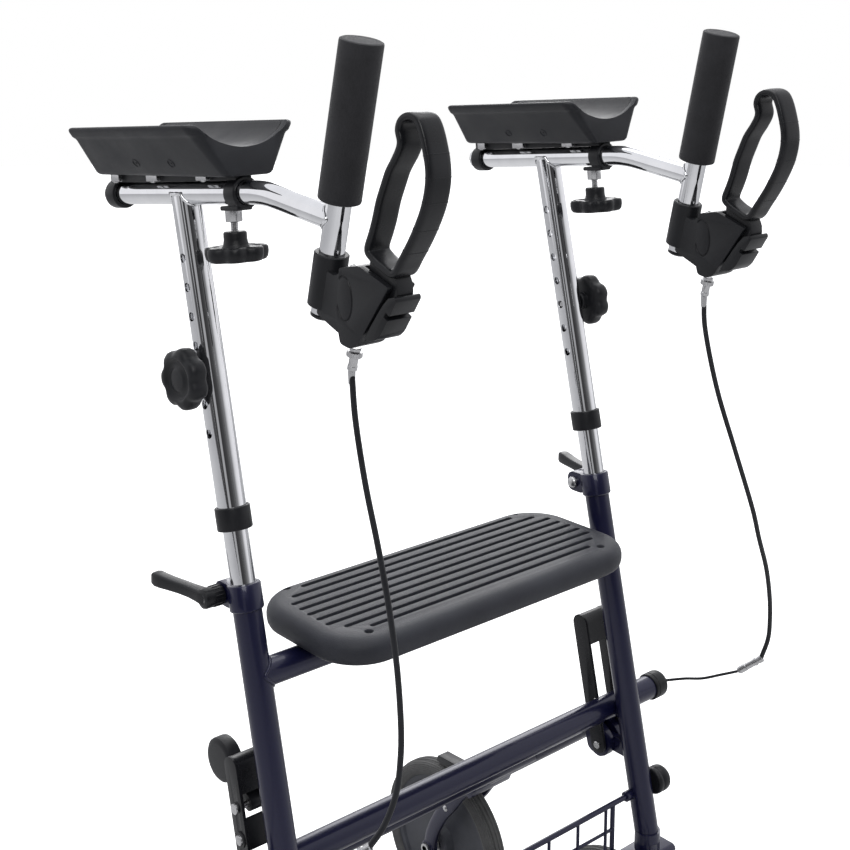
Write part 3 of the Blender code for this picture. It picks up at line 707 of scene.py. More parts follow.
def build_trough(label, place):
    body = label + "trough"
    levels = [(14, 3.2, 4), (14.4, 1.6, 5), (15.4, 0.5, 6), (17, 0, 6), (30, 0, 7.5), (46, 0, 9),
              (47.5, -0.3, 9), (48.6, -1.2, 9.5), (49.6, -1.7, 10), (53.4, -1.8, 10),
              (55.2, -1.4, 10), (56.5, -0.4, 9.5), (57.2, 0.8, 9), (57.5, 2.2, 8)]
    shell = loose(label + "trough_fine", lofted([trough_ring(*lv) for lv in levels]), place,
                  PANEL)
    hollow = [trough_ring(20, 5, 4), trough_ring(62, 5, 7)]
    arm_rest = (65, -140, 180, TROUGH_AXIS, on_arm(0, 104.5), 180)
    shape(shell, place, minus=[lofted(hollow), rod(*arm_rest)])
    bevel(shell, 1.3, 3, 40, 30)
    put(shell, body, label + "trough")

    filling = [(20.3, 5.3, 4), (50, 5.3, 7), (54.5, 5.3, 7), (56.4, 6.0, 7), (57.2, 7.6, 6)]
    pad = loose(label + "trough_pad_fine", lofted([trough_ring(*lv) for lv in filling]), place,
                PAD)
    shape(pad, place, minus=[rod(*arm_rest)])
    bevel(pad, 1.2, 3, 40, 40)
    put(pad, body, label + "trough_pad")

    for side in (-1, 1):
        for k, a in enumerate((-18, 36)):
            trough_mark(f"{label}trough_mark_{'in' if side < 0 else 'out'}_{k}", place, body, a,
                        side)


def trough_mark(name, place, body, a, side):
    """A small round moulding mark on the trough's flat side."""
    slope = Vector((30.0, 0, 43.5)).normalized()
    normal = (X_AXIS * slope.z * side - ARM_UP * slope.x).normalized()
    share = (25.5 - 14.0) / 43.5
    centre = on_trough(a, 25.5, side * (24.0 + 30.0 * share))
    ring = turned([(3.4, -0.25), (3.5, 0.25), (3.9, 0.5), (4.3, 0.25), (4.4, -0.25)], 32,
                  normal, centre, ring=True)
    simple(name + "_ring", ring, place, PANEL, body)
    dash = rod(0.9, -0.25, 0.4, normal, centre, 16)
    simple(name + "_dot", dash, place, PANEL, body)


def strap_ring(a, width, place, name, body):
    """A clamp strap round the forearm tube."""
    line = [(13.5, a - width / 2), (13.5, a + width / 2), (10.2, a + width / 2),
            (10.2, a - width / 2)]
    return simple(name, turned(line, 64, ARM_AXIS, ARM_MID, ring=True, ease=0.8), place, BLACK,
                  body)


def arm_box(a0, a1, b0, b1, half, corner=1.0):
    rings = []
    for o in (-half, half):
        flat = rounded(a0, a1, b0, b1, corner, 4)
        rings.append([on_arm(a, b, o) for a, b in flat])
    return lofted(rings)


def build_trough_clamp(label, place):
    body = label + "trough"
    front = strap_ring(-69, 14, place, label + "trough_clamp_front", body)
    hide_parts(label + "trough_clamp")
    strap_ring(116.5, 14, place, label + "trough_clamp_rear", body)
    wedge = [(-74, 10.4), (120, 10.4), (120, 18.2), (-74, 13.6)]
    bar = lofted([[on_arm(a, b, o) for a, b in wedge] for o in (-8, 8)])
    simple(label + "trough_bar", bar, place, BLACK, body, ease=0.5)
    foot = loose(label + "trough_clamp_foot", arm_box(-73, -48, -14.5, -10.6, 7.6, 1.5), place,
                 BLACK)
    bevel(foot, 0.8)
    put(foot, body)
    boss = turned([(6.6, -24), (7, -23.4), (7, -14.6), (6.4, -14)], 40, ARM_UP,
                  on_arm(-56.2, 0))
    boss = loose(label + "trough_boss", boss, place, ZINC)
    shape(boss, place, minus=[rod(3.3, -40, 0, ARM_UP, on_arm(-56.2, 0), 24)])
    put(boss, body)
    for k, (a, length) in enumerate(((-40, 15), (36, 17), (100, 12))):
        lug = arm_box(a, a + length, 11.2, 14.6 + (a + 75) * TROUGH_RISE, 14 - k, 0.8)
        simple(f"{label}trough_bracket_{k}", lug, place, ZINC, body, ease=0.4)
        for side in (-1, 1):
            at = on_arm(a + length / 2, 11.4, side * 11)
            screw_head(f"{label}trough_screw_{k}_{'in' if side < 0 else 'out'}", at, -ARM_UP,
                       2.6, 1.6, place, body, False)


# ---- grip, brake housing and lever ---------------------------------------

LEVER_LINE = [(-236.5, 37), (-241.5, 50), (-250, 75), (-257.5, 93), (-266, 105.5),
              (-271.3, 117), (-269.6, 127), (-273.2, 134.2), (-281, 137), (-289.5, 133.5),
              (-296.3, 119), (-300.9, 97.5), (-297.3, 76), (-286.8, 54), (-274, 34.5),
              (-264.5, 22.5), (-252, 26), (-241, 31.5)]


def build_grip(label, place):
    rows = [(10.3, 0.4), (15.2, 0), (16.6, 0.7), (17.0, 2.2), (17.0, 30), (17.0, 60),
            (17.0, 90), (17.0, GRIP_LEN - 2.2), (16.6, GRIP_LEN - 0.8), (15.2, GRIP_LEN - 0.1),
            (12.5, GRIP_LEN - 0.4), (6, GRIP_LEN - 0.1), (0.01, GRIP_LEN)]
    grip = loose(label + "grip_fine", turned(rows, 72, GRIP_AXIS, GRIP_FOOT), place, FOAM, 50)
    shape(grip, place, minus=[rod(ARM_R + 0.2, -5, GRIP_LEN - 4.7, GRIP_AXIS, GRIP_FOOT, 56)])
    put(grip, label + "handle", label + "grip")


def closed_curve(line, spacing):
    """A smooth closed (y, z) line through the given points."""
    around = line[-3:] + line + line[:4]
    fine = flat_curve(around, spacing)
    start = min(range(len(fine) // 2), key=lambda k: math.dist(fine[k], line[0]))
    stop = min(range(len(fine) // 2, len(fine)), key=lambda k: math.dist(fine[k], line[0]))
    return fine[start:stop]


def strand_ring(at, run, half_w, half_t, lift=0.0):
    """The lever's flat section at a point of its loop."""
    normal = Vector((0, run.z, -run.y))
    return squarish(Vector((0, *at)) + normal * lift, X_AXIS, normal, (half_w, half_t),
                    (0.42, 0.55), 28)


SEAMS = [(-298.5, 110), (-300.9, 96), (-297.3, 77), (-288.5, 57), (-277.5, 40)]


def build_lever(label, place):
    body = label + "brake_lever"
    pivot = (0, *LEVER_PIVOT)
    loop = closed_curve(LEVER_LINE, 2.0)
    count = len(loop)
    rings = []
    runs = []
    for i, at in enumerate(loop):
        before = Vector((0, *loop[i - 1]))
        run = (Vector((0, *loop[(i + 1) % count])) - before).normalized()
        share = i / count
        grip_side = max(0.0, math.cos((share - 0.22) * 2 * math.pi)) ** 0.7
        wave = 0.8 * grip_side * math.sin(share * 2 * math.pi * 9)
        runs.append(run)
        rings.append(strand_ring(at, run, 11.3, 3.3, wave * 0.35))
    lever = loose(label + "brake_lever_fine", lofted(rings, True), place, SATIN, 50)
    put(lever, body, label + "brake_lever")

    for k, spot in enumerate(SEAMS):
        i = min(range(count), key=lambda n: math.dist(loop[n], spot))
        pair = []
        for reach in (-0.4, 0.4):
            at = (loop[i][0] + runs[i].y * reach, loop[i][1] + runs[i].z * reach)
            pair.append(strand_ring(at, runs[i], 11.5, 3.5))
        simple(f"{label}lever_rib_{k}", lofted(pair), place, SATIN, body, ease=0.15)
    tongue = eased([(-238, 33), (-262, 24), (-267, 15), (-268, 6), (-256, -12), (-246, -24),
                    (-239, -26), (-234, -10), (-236, 8)], 3, 4, True)
    cheek = eased([(-262.5, 4.5), (-270, 6.5), (-271.5, 3.5), (-254, -24.5), (-248, -29.5),
                   (-239, -31), (-236.4, -29), (-249.8, -10.3), (-256.6, -1.5)],
                  [1, 1.5, 2, 3, 3, 2, 1, 2, 2], 4, True)
    block = loose(label + "lever_block", plate(tongue, -8, 8), place, SATIN)
    notch = plate([(-267.3, -10.8), (-264.9, -14.5), (-257.7, -10.0), (-260.0, -6.2)], -20, 20)
    shape(block, place, [plate(cheek, -12.5, 12.5)], [notch])
    bevel(block, 0.7, 3, 35)
    put(block, body)
    pin = rod(2.5, -13.2, 13.2, X_AXIS, pivot, 24, 0.4)
    simple(label + "lever_pin", pin, place, SATIN, body)


def build_housing(label, place):
    body = label + "handle"
    outline = eased([(-209, 20), (-231, 24.4), (-264, 12.5), (-233, -31), (-230, -36),
                     (-221, -40), (-210, -38), (-205, -19)], [2, 3, 2.5, 4, 3, 3, 3, 4], 5,
                    True)
    house = loose(label + "brake_housing_fine", plate(outline, -HOUSING_HALF, HOUSING_HALF), place,
                  BLACK)
    sleeve = rod(13.8, -85, -41.6, GRIP_AXIS, GRIP_FOOT, 64, 0.8)
    neck = plate(eased([(-212, 19), (-200, 12), (-190, 15), (-178, -20), (-209, -33)], 3, 4,
                       True), -10.5, 10.5)
    tube_hole = rod(ARM_R + 0.2, -110, -20, GRIP_AXIS, GRIP_FOOT, 64)
    slot = plate([(-300, -60), (-231.7, -60), (-231.7, 60), (-300, 60)], -8.5, 8.5)
    groove = []
    for face in (-1, 1):
        oval = oval_line((-214.8, -2.6), 9.0, 17.0, 64)
        oval = [Vector((face * HOUSING_HALF, y, z)) for y, z in oval]
        groove.append(closed_bar(oval, 0.9, 10, X_AXIS))
    shape(house, place, [sleeve, neck], [tube_hole, slot, *groove])
    bevel(house, 0.9, 3, 50, 30)
    put(house, body, label + "brake_housing")
    screw_head(label + "housing_screw", (0, -210.5, 18.8), (0, -0.2, 1), 3.2, 2.2, place,
               body)
    plug = turned([(0.01, -94.4), (6.5, -94.2), (9.3, -93.2), (9.4, -91.8)], 48, GRIP_AXIS,
                  GRIP_FOOT)
    simple(label + "tube_plug", plug, place, BLACK, body)


def oval_line(centre, half_y, half_z, count):
    points = []
    for k in range(count):
        turn = 2 * math.pi * k / count
        y = half_y * math.cos(turn)
        z = half_z * math.sin(turn)
        points.append((centre[0] + y + 0.05 * z, centre[1] + z))
    return points


def build_adjuster(label, place):
    body = label + "handle"
    foot = Vector((0, -212.4, -42.2))
    run = Vector((0, -207.9, -61.4)) - foot
    line = [(4.0, 0), (4.6, 0.3), (4.6, 2.2), (3.4, 2.4), (3.4, 3.2), (5.9, 3.4), (5.9, 7.6),
            (4.0, 8.0), (3.6, 9.0), (3.6, 15), (4.0, 15.4), (4.0, 18.6), (3.2, 19.4),
            (3.0, run.length)]
    simple(label + "cable_adjuster_fine", turned(line, 40, run, foot), place, ZINC, body,
           label + "cable_adjuster", sharp=25)
    axis = run.normalized()
    out = square_to(axis)
    across = axis.cross(out)
    beads = []
    for at in circle(foot + axis * 5.5, out, across, 5.8, 16):
        beads.append(rod(0.6, -1.9, 1.9, axis, at, 10))
    simple(label + "adjuster_knurls", joined(beads), place, ZINC, body)


# ---- brake cables --------------------------------------------------------

LEFT_ROUTE = [(216, -209, -95), (231, -214, -155), (256, -219, -219), (287, -221, -288),
              (304, -219, -326), (325, -215, -366), (342, -209, -405), (353, -203, -436),
              (357, -199, -460), (356, -192, -484)]
LEFT_END = [(355, -190.5, -486.5), (341, -173, -502), (331, -159, -508), (321, -141, -516),
            (319, -119, -524), (311, -99, -531)]
RIGHT_ROUTE = [(-216, -214, -99), (-216.5, -226, -146), (-217, -241, -190), (-218, -255, -234),
               (-219, -266, -280), (-221, -273, -324), (-225, -277, -350), (-232, -280, -374),
               (-243, -279, -396), (-254, -274, -412)]
RIGHT_END = [(-255.3, -273, -413.3), (-275, -257, -430), (-305, -226, -460), (-339, -181, -495),
             (-358.4, -139, -519), (-343, -106, -531), (-308.3, -95, -532)]
SPLIT = {1: 4, -1: 3}


def build_cable(label, side, upper):
    place = centre_frame()
    start = place.inverted() @ (upper @ Vector((0, -207.7, -62.7)))
    route = [start] + (LEFT_ROUTE if side > 0 else RIGHT_ROUTE)
    fine = curve_through(route, 4)
    split = Vector(route[SPLIT[side]])
    middle = min(range(len(fine)), key=lambda k: (fine[k] - split).length)
    parts = (("cable_upper", fine[:middle + 1], label + "handle", label + "lower_tube"),
             ("cable_lower", fine[middle:], label + "lower_tube", "frame"))
    for name, line, first, last in parts:
        tube = loose(label + name + "_fine", piped(line, 2.45, 20), place, SHEATH)
        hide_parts(label + name)
        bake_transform(tube)
    ferrule = piped([start + Vector((0, 0, 3)), start, start - Vector((0, 0, 9))], [3.0, 3.0, 2.7],
                    24)
    simple(label + "cable_ferrule", ferrule, place, ZINC, label + "handle")
    end = LEFT_END if side > 0 else RIGHT_END
    a = Vector(end[0])
    b = Vector(end[1])
    run = (b - a).length
    line = [(3.2, -4), (4.0, -3.4), (4.0, 1), (3.4, 1.6), (3.4, 3), (4.3, 3.6), (4.3, 6),
            (3.7, 6.4), (3.7, run * 0.6), (4.1, run * 0.62), (4.1, run * 0.9), (3.0, run * 0.97),
            (2.0, run)]
    simple(label + "cable_connector_fine", turned(line, 40, b - a, a), place, ZINC, "frame",
           label + "cable_connector", sharp=25)
    thin = piped(curve_through([a.lerp(b, 0.9)] + list(end[1:]), 4), 1.5, 16)
    simple(label + "thin_cable", thin, place, SHEATH, "frame")

# ---- posts, collars and clamp levers -------------------------------------


def joined(shapes):
    """Several meshes in one."""
    whole = bmesh.new()
    for bm in shapes:
        mesh = bpy.data.meshes.new("part")
        bm.to_mesh(mesh)
        bm.free()
        whole.from_mesh(mesh)
        bpy.data.meshes.remove(mesh)
    return whole


def build_post(label, place):
    outer = [(POST_R - 1.2, -684), (POST_R, -682.8), (POST_R, -299.6), (POST_R - 0.5, -299)]
    post = loose(label + "post_fine", turned(outer, 64, POST_AXIS), place, BLUE)
    head = rod(13.5, -672, -652, Z_AXIS, (0, CASTOR_Y, 0), 64)
    lug_end = arc(FOLD_PIVOT, 8, -90, 90, 14)
    lug = plate([(-131, -581)] + lug_end + [(-128, -563)], -4, 4)
    bore = rod(POST_BORE, -500, -290, POST_AXIS, sides=64)
    stem_hole = rod(6.4, -690, -634, Z_AXIS, (0, CASTOR_Y, 0), 40)
    foot = rod(40, -720, -672, Z_AXIS, (0, CASTOR_Y, 0), 64)
    pin_hole = rod(4.3, -10, 10, X_AXIS, (0, *FOLD_PIVOT), 28)
    shape(post, place, [head, lug], [bore, stem_hole, pin_hole, foot])
    put(post, "frame", label + "post")
    knob = turned([(10.6, 13.4), (12.6, 13.6), (13.6, 14.6), (14, 16), (14, 18.6), (13.5, 19.2),
                   (13.5, 20), (14, 20.6), (14, 26.5), (13.4, 29.4), (11.6, 31.6), (8.8, 32.5),
                   (5, 32.7), (0.01, 32.7)], 64, X_AXIS, (0, -143, -606))
    simple(label + "post_knob_fine", knob, place, BLACK, "frame", label + "post_knob", sharp=50)
    ferrule = turned([(4.6, -21.5), (5.4, -20.8), (5.4, -14.0), (4.6, -12.2)], 32, X_AXIS,
                     (0, -137, -613))
    simple(label + "basket_ferrule", ferrule, place, BLUE, "frame")


def build_collar(label, place):
    line = [(14.2, -307.4), (15, -306.4), (15, -285.6), (14.2, -284.4), (12.0, -284.4)]
    collar = loose(label + "post_collar_fine", turned(line, 64, POST_AXIS), place, BLUE)
    ears = plate(rounded(-62, -36, -300, -279, 8, 6), -11, 11)
    minus = [rod(POST_R + 0.25, -320, -298.5, POST_AXIS, sides=64),
             rod(POST_BORE, -310, -270, POST_AXIS, sides=64),
             rod(3.3, -20, 20, X_AXIS, (0, *CLAMP_BOLT), 28),
             plate([(-60, -320), (-60, -270), (-30, -270), (-30, -320)], -1.2, 1.2)]
    shape(collar, place, [ears], minus)
    bevel(collar, 0.7, 3, 40)
    put(collar, "frame", label + "post_collar")

    body = label + "clamp_lever"
    pivot = Vector((0, *CLAMP_BOLT))
    centres = [(23.5, -50, -290.2), (24.2, -45, -290), (25.6, -36, -289.8), (27.4, -25, -289.5),
               (30.2, -12, -289.2), (33.4, 0, -289), (36.2, 10, -288.6), (37.6, 16, -288.2),
               (38.2, 19.6, -288), (38.4, 21.2, -288)]
    sizes = [(5.5, 5.5), (7.2, 7.0), (6.4, 5.8), (5.8, 5.2), (5.7, 5.2), (5.9, 5.4),
             (6.1, 6.0), (5.9, 6.4), (5.0, 5.4), (3.2, 3.4)]
    rings = []
    for i, (centre, (wide, tall)) in enumerate(zip(centres, sizes)):
        ahead = Vector(centres[min(i + 1, len(centres) - 1)])
        behind = Vector(centres[max(i - 1, 0)])
        run = (ahead - behind).normalized()
        across = run.cross(Z_AXIS).normalized()
        rings.append(squarish(Vector(centre), across, across.cross(run), (wide, tall),
                              (0.4, 0.4), 32))
    arm = loose(label + "clamp_lever_fine", lofted(rings), place, PAINT_BLACK, 50)
    hub = turned([(7.6, 11.3), (8.6, 11.6), (9, 12.6), (9, 28.2), (8.4, 30), (6.4, 31),
                  (4.4, 31), (4.2, 29.6), (0.01, 29.6)], 56, X_AXIS, pivot)
    shape(arm, place, [hub])
    put(arm, body, label + "clamp_lever")
    ribs = [rod(0.55, 12.8, 21.5, X_AXIS, at, 8)
            for at in circle(pivot, Y_AXIS, Z_AXIS, 9.0, 18)]
    simple(label + "clamp_ribs", joined(ribs), place, PAINT_BLACK, body)
    socket = turned([(3.9, 29.5), (3.9, 30.4), (2.0, 30.4), (2.0, 29.0)], 24, X_AXIS, pivot,
                    ring=True)
    simple(label + "clamp_socket", socket, place, ZINC, body)
    bolt = rod(3.0, -13, 20, X_AXIS, pivot, 24)
    simple(label + "clamp_bolt", bolt, place, ZINC, body)
    head = turned([(0.01, -16.6), (3.4, -16.4), (5.2, -15.2), (6.0, -13.2), (6.0, -11.3)], 40,
                  X_AXIS, pivot)
    simple(label + "clamp_bolt_head", head, place, ZINC, body, sharp=50)


# ---- rear frame, castors and wheels --------------------------------------


def build_wheel(label, node, hub, place, body):
    """Ribbed tyre, plain disc with its hub, and bearings."""
    half = [(81, 7.2), (82.2, 9.6), (84.2, 11.0), (87, 12.0), (88, 12.4), (88.6, 12.0),
            (89.6, 12.5), (90.6, 12.0), (91.6, 12.4), (92.6, 11.7), (93.8, 11.9), (94.6, 11.0),
            (95.8, 11.1), (96.6, 9.9), (98.0, 9.2), (98.2, 7.6), (99.3, 6.6), (98.5, 5.2),
            (98.5, 4.4), (99.9, 3.6), (99.95, 1.6), (98.9, 0.8)]
    line = [(r, -h) for r, h in half] + [(r, h) for r, h in reversed(half)]
    tyre = loose(label + node + "_tyre", turned(line, 120, X_AXIS, hub, ring=True), place, TYRE,
                 25)
    put(tyre, body, label + node)

    web = [(80.8, -7.6), (82.0, -8.8), (82.0, 8.8), (80.8, 7.6), (76, 7.0), (73.4, 4.6),
           (30, 3.6), (23, 6.4), (19.4, 15.6), (17.4, 17.0), (9.6, 17.0), (9.6, -17.0),
           (17.4, -17.0), (19.4, -15.6), (23, -6.4), (30, -3.6), (73.4, -4.6), (76, -7.0)]
    rim = loose(label + node + "_rim", turned(web, 96, X_AXIS, hub, ring=True), place, RIM, 30)
    bevel(rim, 0.5, 2, 50, 30)
    put(rim, body)
    for face in (-1, 1):
        ring = turned([(5.3, 16.2 * face), (5.3, 17.3 * face), (6.4, 17.5 * face),
                       (9.7, 17.3 * face), (9.7, 16.2 * face)], 40, X_AXIS, hub, ring=True)
        side = "in" if face < 0 else "out"
        simple(f"{label}{node}_bearing_{side}", ring, place, ZINC, body)


def fork_blade(path, half_depth, across, half_width):
    """A curved strip of rounded section following (y, z) points."""
    line = flat_curve(path, 4)
    rings = []
    for i, at in enumerate(line):
        ahead = line[min(i + 1, len(line) - 1)]
        behind = line[max(i - 1, 0)]
        run = Vector((0, ahead[0] - behind[0], ahead[1] - behind[1])).normalized()
        side = Vector((0, run.z, -run.y))
        rings.append(squarish(Vector((across, *at)), X_AXIS, side, (half_width, half_depth),
                              (0.55, 0.8), 32))
    return lofted(rings)


def build_rear(label, place):
    body = "rear_frame"
    leg = loose(label + "rear_leg_fine", piped([LEG_TOP, LEG_FOOT], 11, 56), place, BLUE)
    block = plate(eased([(-106, -566), (-98, -557), (-84, -551), (-70, -560), (-76, -584),
                         (-92, -589), (-104, -582)], 5, 4, True), -13.5, 13.5)
    mid, hub_y, hub_z = REAR_HUB
    crown = plate(eased([(74, -702), (68, -688), (84, -676), (92, -684), (90, -700)], 5, 4,
                        True), mid - 31, mid + 31)
    slot = plate([(-125, -600), (-84.5, -600), (-84.5, -540), (-125, -540)], -4.5, 4.5)
    hole = rod(4.3, -20, 20, X_AXIS, (0, *FOLD_PIVOT), 28)
    shape(leg, place, [block, crown], [slot, hole])
    bevel(leg, 0.8, 3, 50)
    put(leg, body, label + "rear_leg")

    for across, tag in ((mid - 26, "in"), (mid + 26, "out")):
        blade = fork_blade([(80, -689), (97, -705), (113, -727), (129, -747), (141, -768),
                            (148, -785), (151, -800)], 9.0, across, 4.6)
        simple(f"{label}rear_blade_{tag}", blade, place, BLUE, body, sharp=60)
        eye = turned([(8.0, -5.2), (9.4, -4.2), (9.4, 4.2), (8.0, 5.2)], 40, X_AXIS,
                     (across, hub_y, hub_z))
        simple(f"{label}rear_eye_{tag}", eye, place, BLUE, body)
        sign = -1 if tag == "in" else 1
        nut = turned([(6.6, 5.3 * sign), (6.9, 6 * sign), (6.6, 8.6 * sign), (4, 8.8 * sign),
                      (3.8, 7 * sign)], 6 if sign > 0 else 32, X_AXIS, (across, hub_y, hub_z))
        simple(f"{label}rear_axle_nut_{tag}", nut, place, ZINC, body)
        rivet = turned([(0.01, 6.2 * sign), (2.6, 5.9 * sign), (3.9, 4.8 * sign),
                        (4.0, 3.8 * sign)], 28, X_AXIS, (across, 119, -734))
        simple(f"{label}rear_rivet_{tag}", rivet, place, ZINC, body)
        low, high = (mid - 13.2, mid - 10) if sign < 0 else (mid + 10, mid + 13.2)
        ear = plate(capsule((86, -690), BRAKE_PIN[1:], 6), low, high)
        simple(f"{label}brake_ear_{tag}", ear, place, BLUE, body, ease=0.6)
    axle = rod(4.8, -33, 33, X_AXIS, REAR_HUB, 32, 0.5)
    simple(label + "rear_axle", axle, place, ZINC, body)
    pin = turned([(4.2, -15.4), (4.2, -13.4), (2.5, -13.4), (2.5, 13.4), (4.2, 13.4),
                  (4.2, 15.2)], 28, X_AXIS, BRAKE_PIN)
    simple(label + "brake_pin", pin, place, ZINC, body)
    cap = turned([(9.0, -4), (11.6, -3), (11.9, 0), (11.6, 4), (11.0, 9)], 40,
                 Vector(LEG_TOP) - Vector(LEG_FOOT), Vector(LEG_FOOT) + Vector((0, 3, -2.5)))
    simple(label + "leg_foot_cap", cap, place, BLACK, body)

    build_wheel(label, "rear_wheel", REAR_HUB, place, label + "rear_wheel")

    shoe = plate(eased([(96.5, -690), (101, -687.5), (108, -688), (158, -690), (160, -698),
                        (130, -698), (126, -694.5), (108, -699.5), (99, -699.5)], 1.6, 3, True),
                 mid - 8, mid + 8)
    arm = loose(label + "brake_arm_fine", shoe, place, PAINT_BLACK)
    shape(arm, place, minus=[rod(2.8, -40, 40, X_AXIS, BRAKE_PIN, 28)])
    bevel(arm, 0.7, 2, 40)
    put(arm, label + "brake_arm", label + "brake_arm")
    pad = plate(eased([(133, -697.8), (157, -697.6), (157.4, -699.4), (133, -699.6)], 0.8, 2,
                      True), mid - 7, mid + 7)
    simple(label + "brake_pad", pad, place, TYRE, label + "brake_arm")
    wire = piped(curve_through([(mid + 4, 112, -686), (mid + 4, 96, -684.5), (mid + 3, 84, -679),
                                (mid + 2, 74, -671)], 3), 0.8, 10)
    simple(label + "brake_wire", wire, place, ZINC, label + "brake_arm")


def build_castor(label, place):
    body = label + "castor"
    at = (0, CASTOR_Y, 0)
    stem = turned([(5.2, -636), (6, -637), (6, -676)], 40, Z_AXIS, at)
    stem = loose(label + "castor_stem", stem, place, ZINC)
    put(stem, body)
    crown = loose(label + "front_fork_fine", plate(rounded(-169, -133, -690, -672.6, 5, 5), -26,
                                                   26), place, BLUE)
    boss = rod(12.6, -676, -672.4, Z_AXIS, at, 48, 0.6)
    blade = eased([(-166, -684), (-138, -684), (-104, -798), (-105, -808), (-113, -812),
                   (-121, -808), (-123, -798)], [3, 3, 4, 5, 6, 5, 4], 5, True)
    left = plate(blade, -25, -20.5)
    right = plate(blade, 20.5, 25)
    shape(crown, place, [boss, left, right])
    bevel(crown, 1.0, 3, 40)
    put(crown, body, label + "front_fork")
    axle = rod(4.8, -30, 30, X_AXIS, FRONT_HUB, 32, 0.5)
    simple(label + "front_axle", axle, place, ZINC, body)
    for sign in (-1, 1):
        nut = turned([(7, 25.1 * sign), (7.3, 25.8 * sign), (7, 29.0 * sign), (4.9, 29.2 * sign)],
                     6, X_AXIS, FRONT_HUB)
        tag = "in" if sign < 0 else "out"
        simple(f"{label}front_axle_nut_{tag}", nut, place, ZINC, body)
    build_wheel(label, "front_wheel", FRONT_HUB, place, label + "front_wheel")


# ---- folding latch -------------------------------------------------------


def build_latch(label, place, with_pin_hole):
    body = "frame"
    top = (FOLD_PIVOT[0] + 129 * math.tan(LEAN), FOLD_PIVOT[1] + 129)
    outline = capsule(FOLD_PIVOT, top, 9.5, 20)
    outer = loose(label + "latch_bracket_fine", plate(outline, -18.2, -15.2), place, PAINT_BLACK)
    inner = plate(outline, 15.8, 18.8)
    strap = plate(capsule((top[0] - 5, top[1] - 21), top, 9.2, 20), -16, 16.5)
    hollow = plate(capsule((top[0] - 12, top[1] - 48), (top[0] - 0.4, top[1] - 1.6), 7.4, 20),
                   -12.6, 13.2)
    under = plate([(-140, -540), (-40, -540), (-40, top[1] - 23), (-140, top[1] - 16)], -15.1,
                  15.7)
    minus = [hollow, under, rod(POST_R + 0.35, -40, 40, X_AXIS, (0, *CROSSBAR), 56)]
    if with_pin_hole:
        minus.append(rod(3.3, -30, 30, X_AXIS, (0, *LATCH_PIN), 24))
        back = (top[0] - 4, top[1] - 14)
        minus.append(plate(capsule(LATCH_PIN, (back[0] + 60, back[1] + 12), 8.6, 12), -12.6,
                           12.6))
    shape(outer, place, [strap, inner], minus)
    bevel(outer, 0.7, 3, 40)
    put(outer, body, label + "latch_bracket")
    bolt = turned([(3.2, -21), (4.0, -20.2), (4.0, 20.2), (3.2, 21)], 28, X_AXIS,
                  (0, *FOLD_PIVOT))
    simple(label + "fold_bolt", bolt, place, ZINC, body)
    rivet_at = (FOLD_PIVOT[0] + 67 * math.tan(LEAN), FOLD_PIVOT[1] + 67)
    washer = turned([(7.4, 18.8), (7.2, 20.0), (0.01, 20.0)], 40, X_AXIS, (0, *rivet_at))
    simple(label + "latch_washer", washer, place, BLACK, body)
    head = turned([(4.8, 19.9), (4.5, 21.4), (3, 22.2), (0.01, 22.4)], 32, X_AXIS,
                  (0, *rivet_at))
    simple(label + "latch_rivet", head, place, ZINC, body, sharp=50)
    if with_pin_hole:
        slide = plate(eased([(-86.6, -514), (-79.6, -487.5), (-76.4, -487.5), (-83.2, -514)],
                            0.8, 2, True), -15, 15.6)
        simple(label + "latch_slide", slide, place, BLACK, body, ease=0.5)


# ---- pieces in the middle ------------------------------------------------

GROOVES = [136, 156, 166, 167, 168, 168, 168, 158, 140]


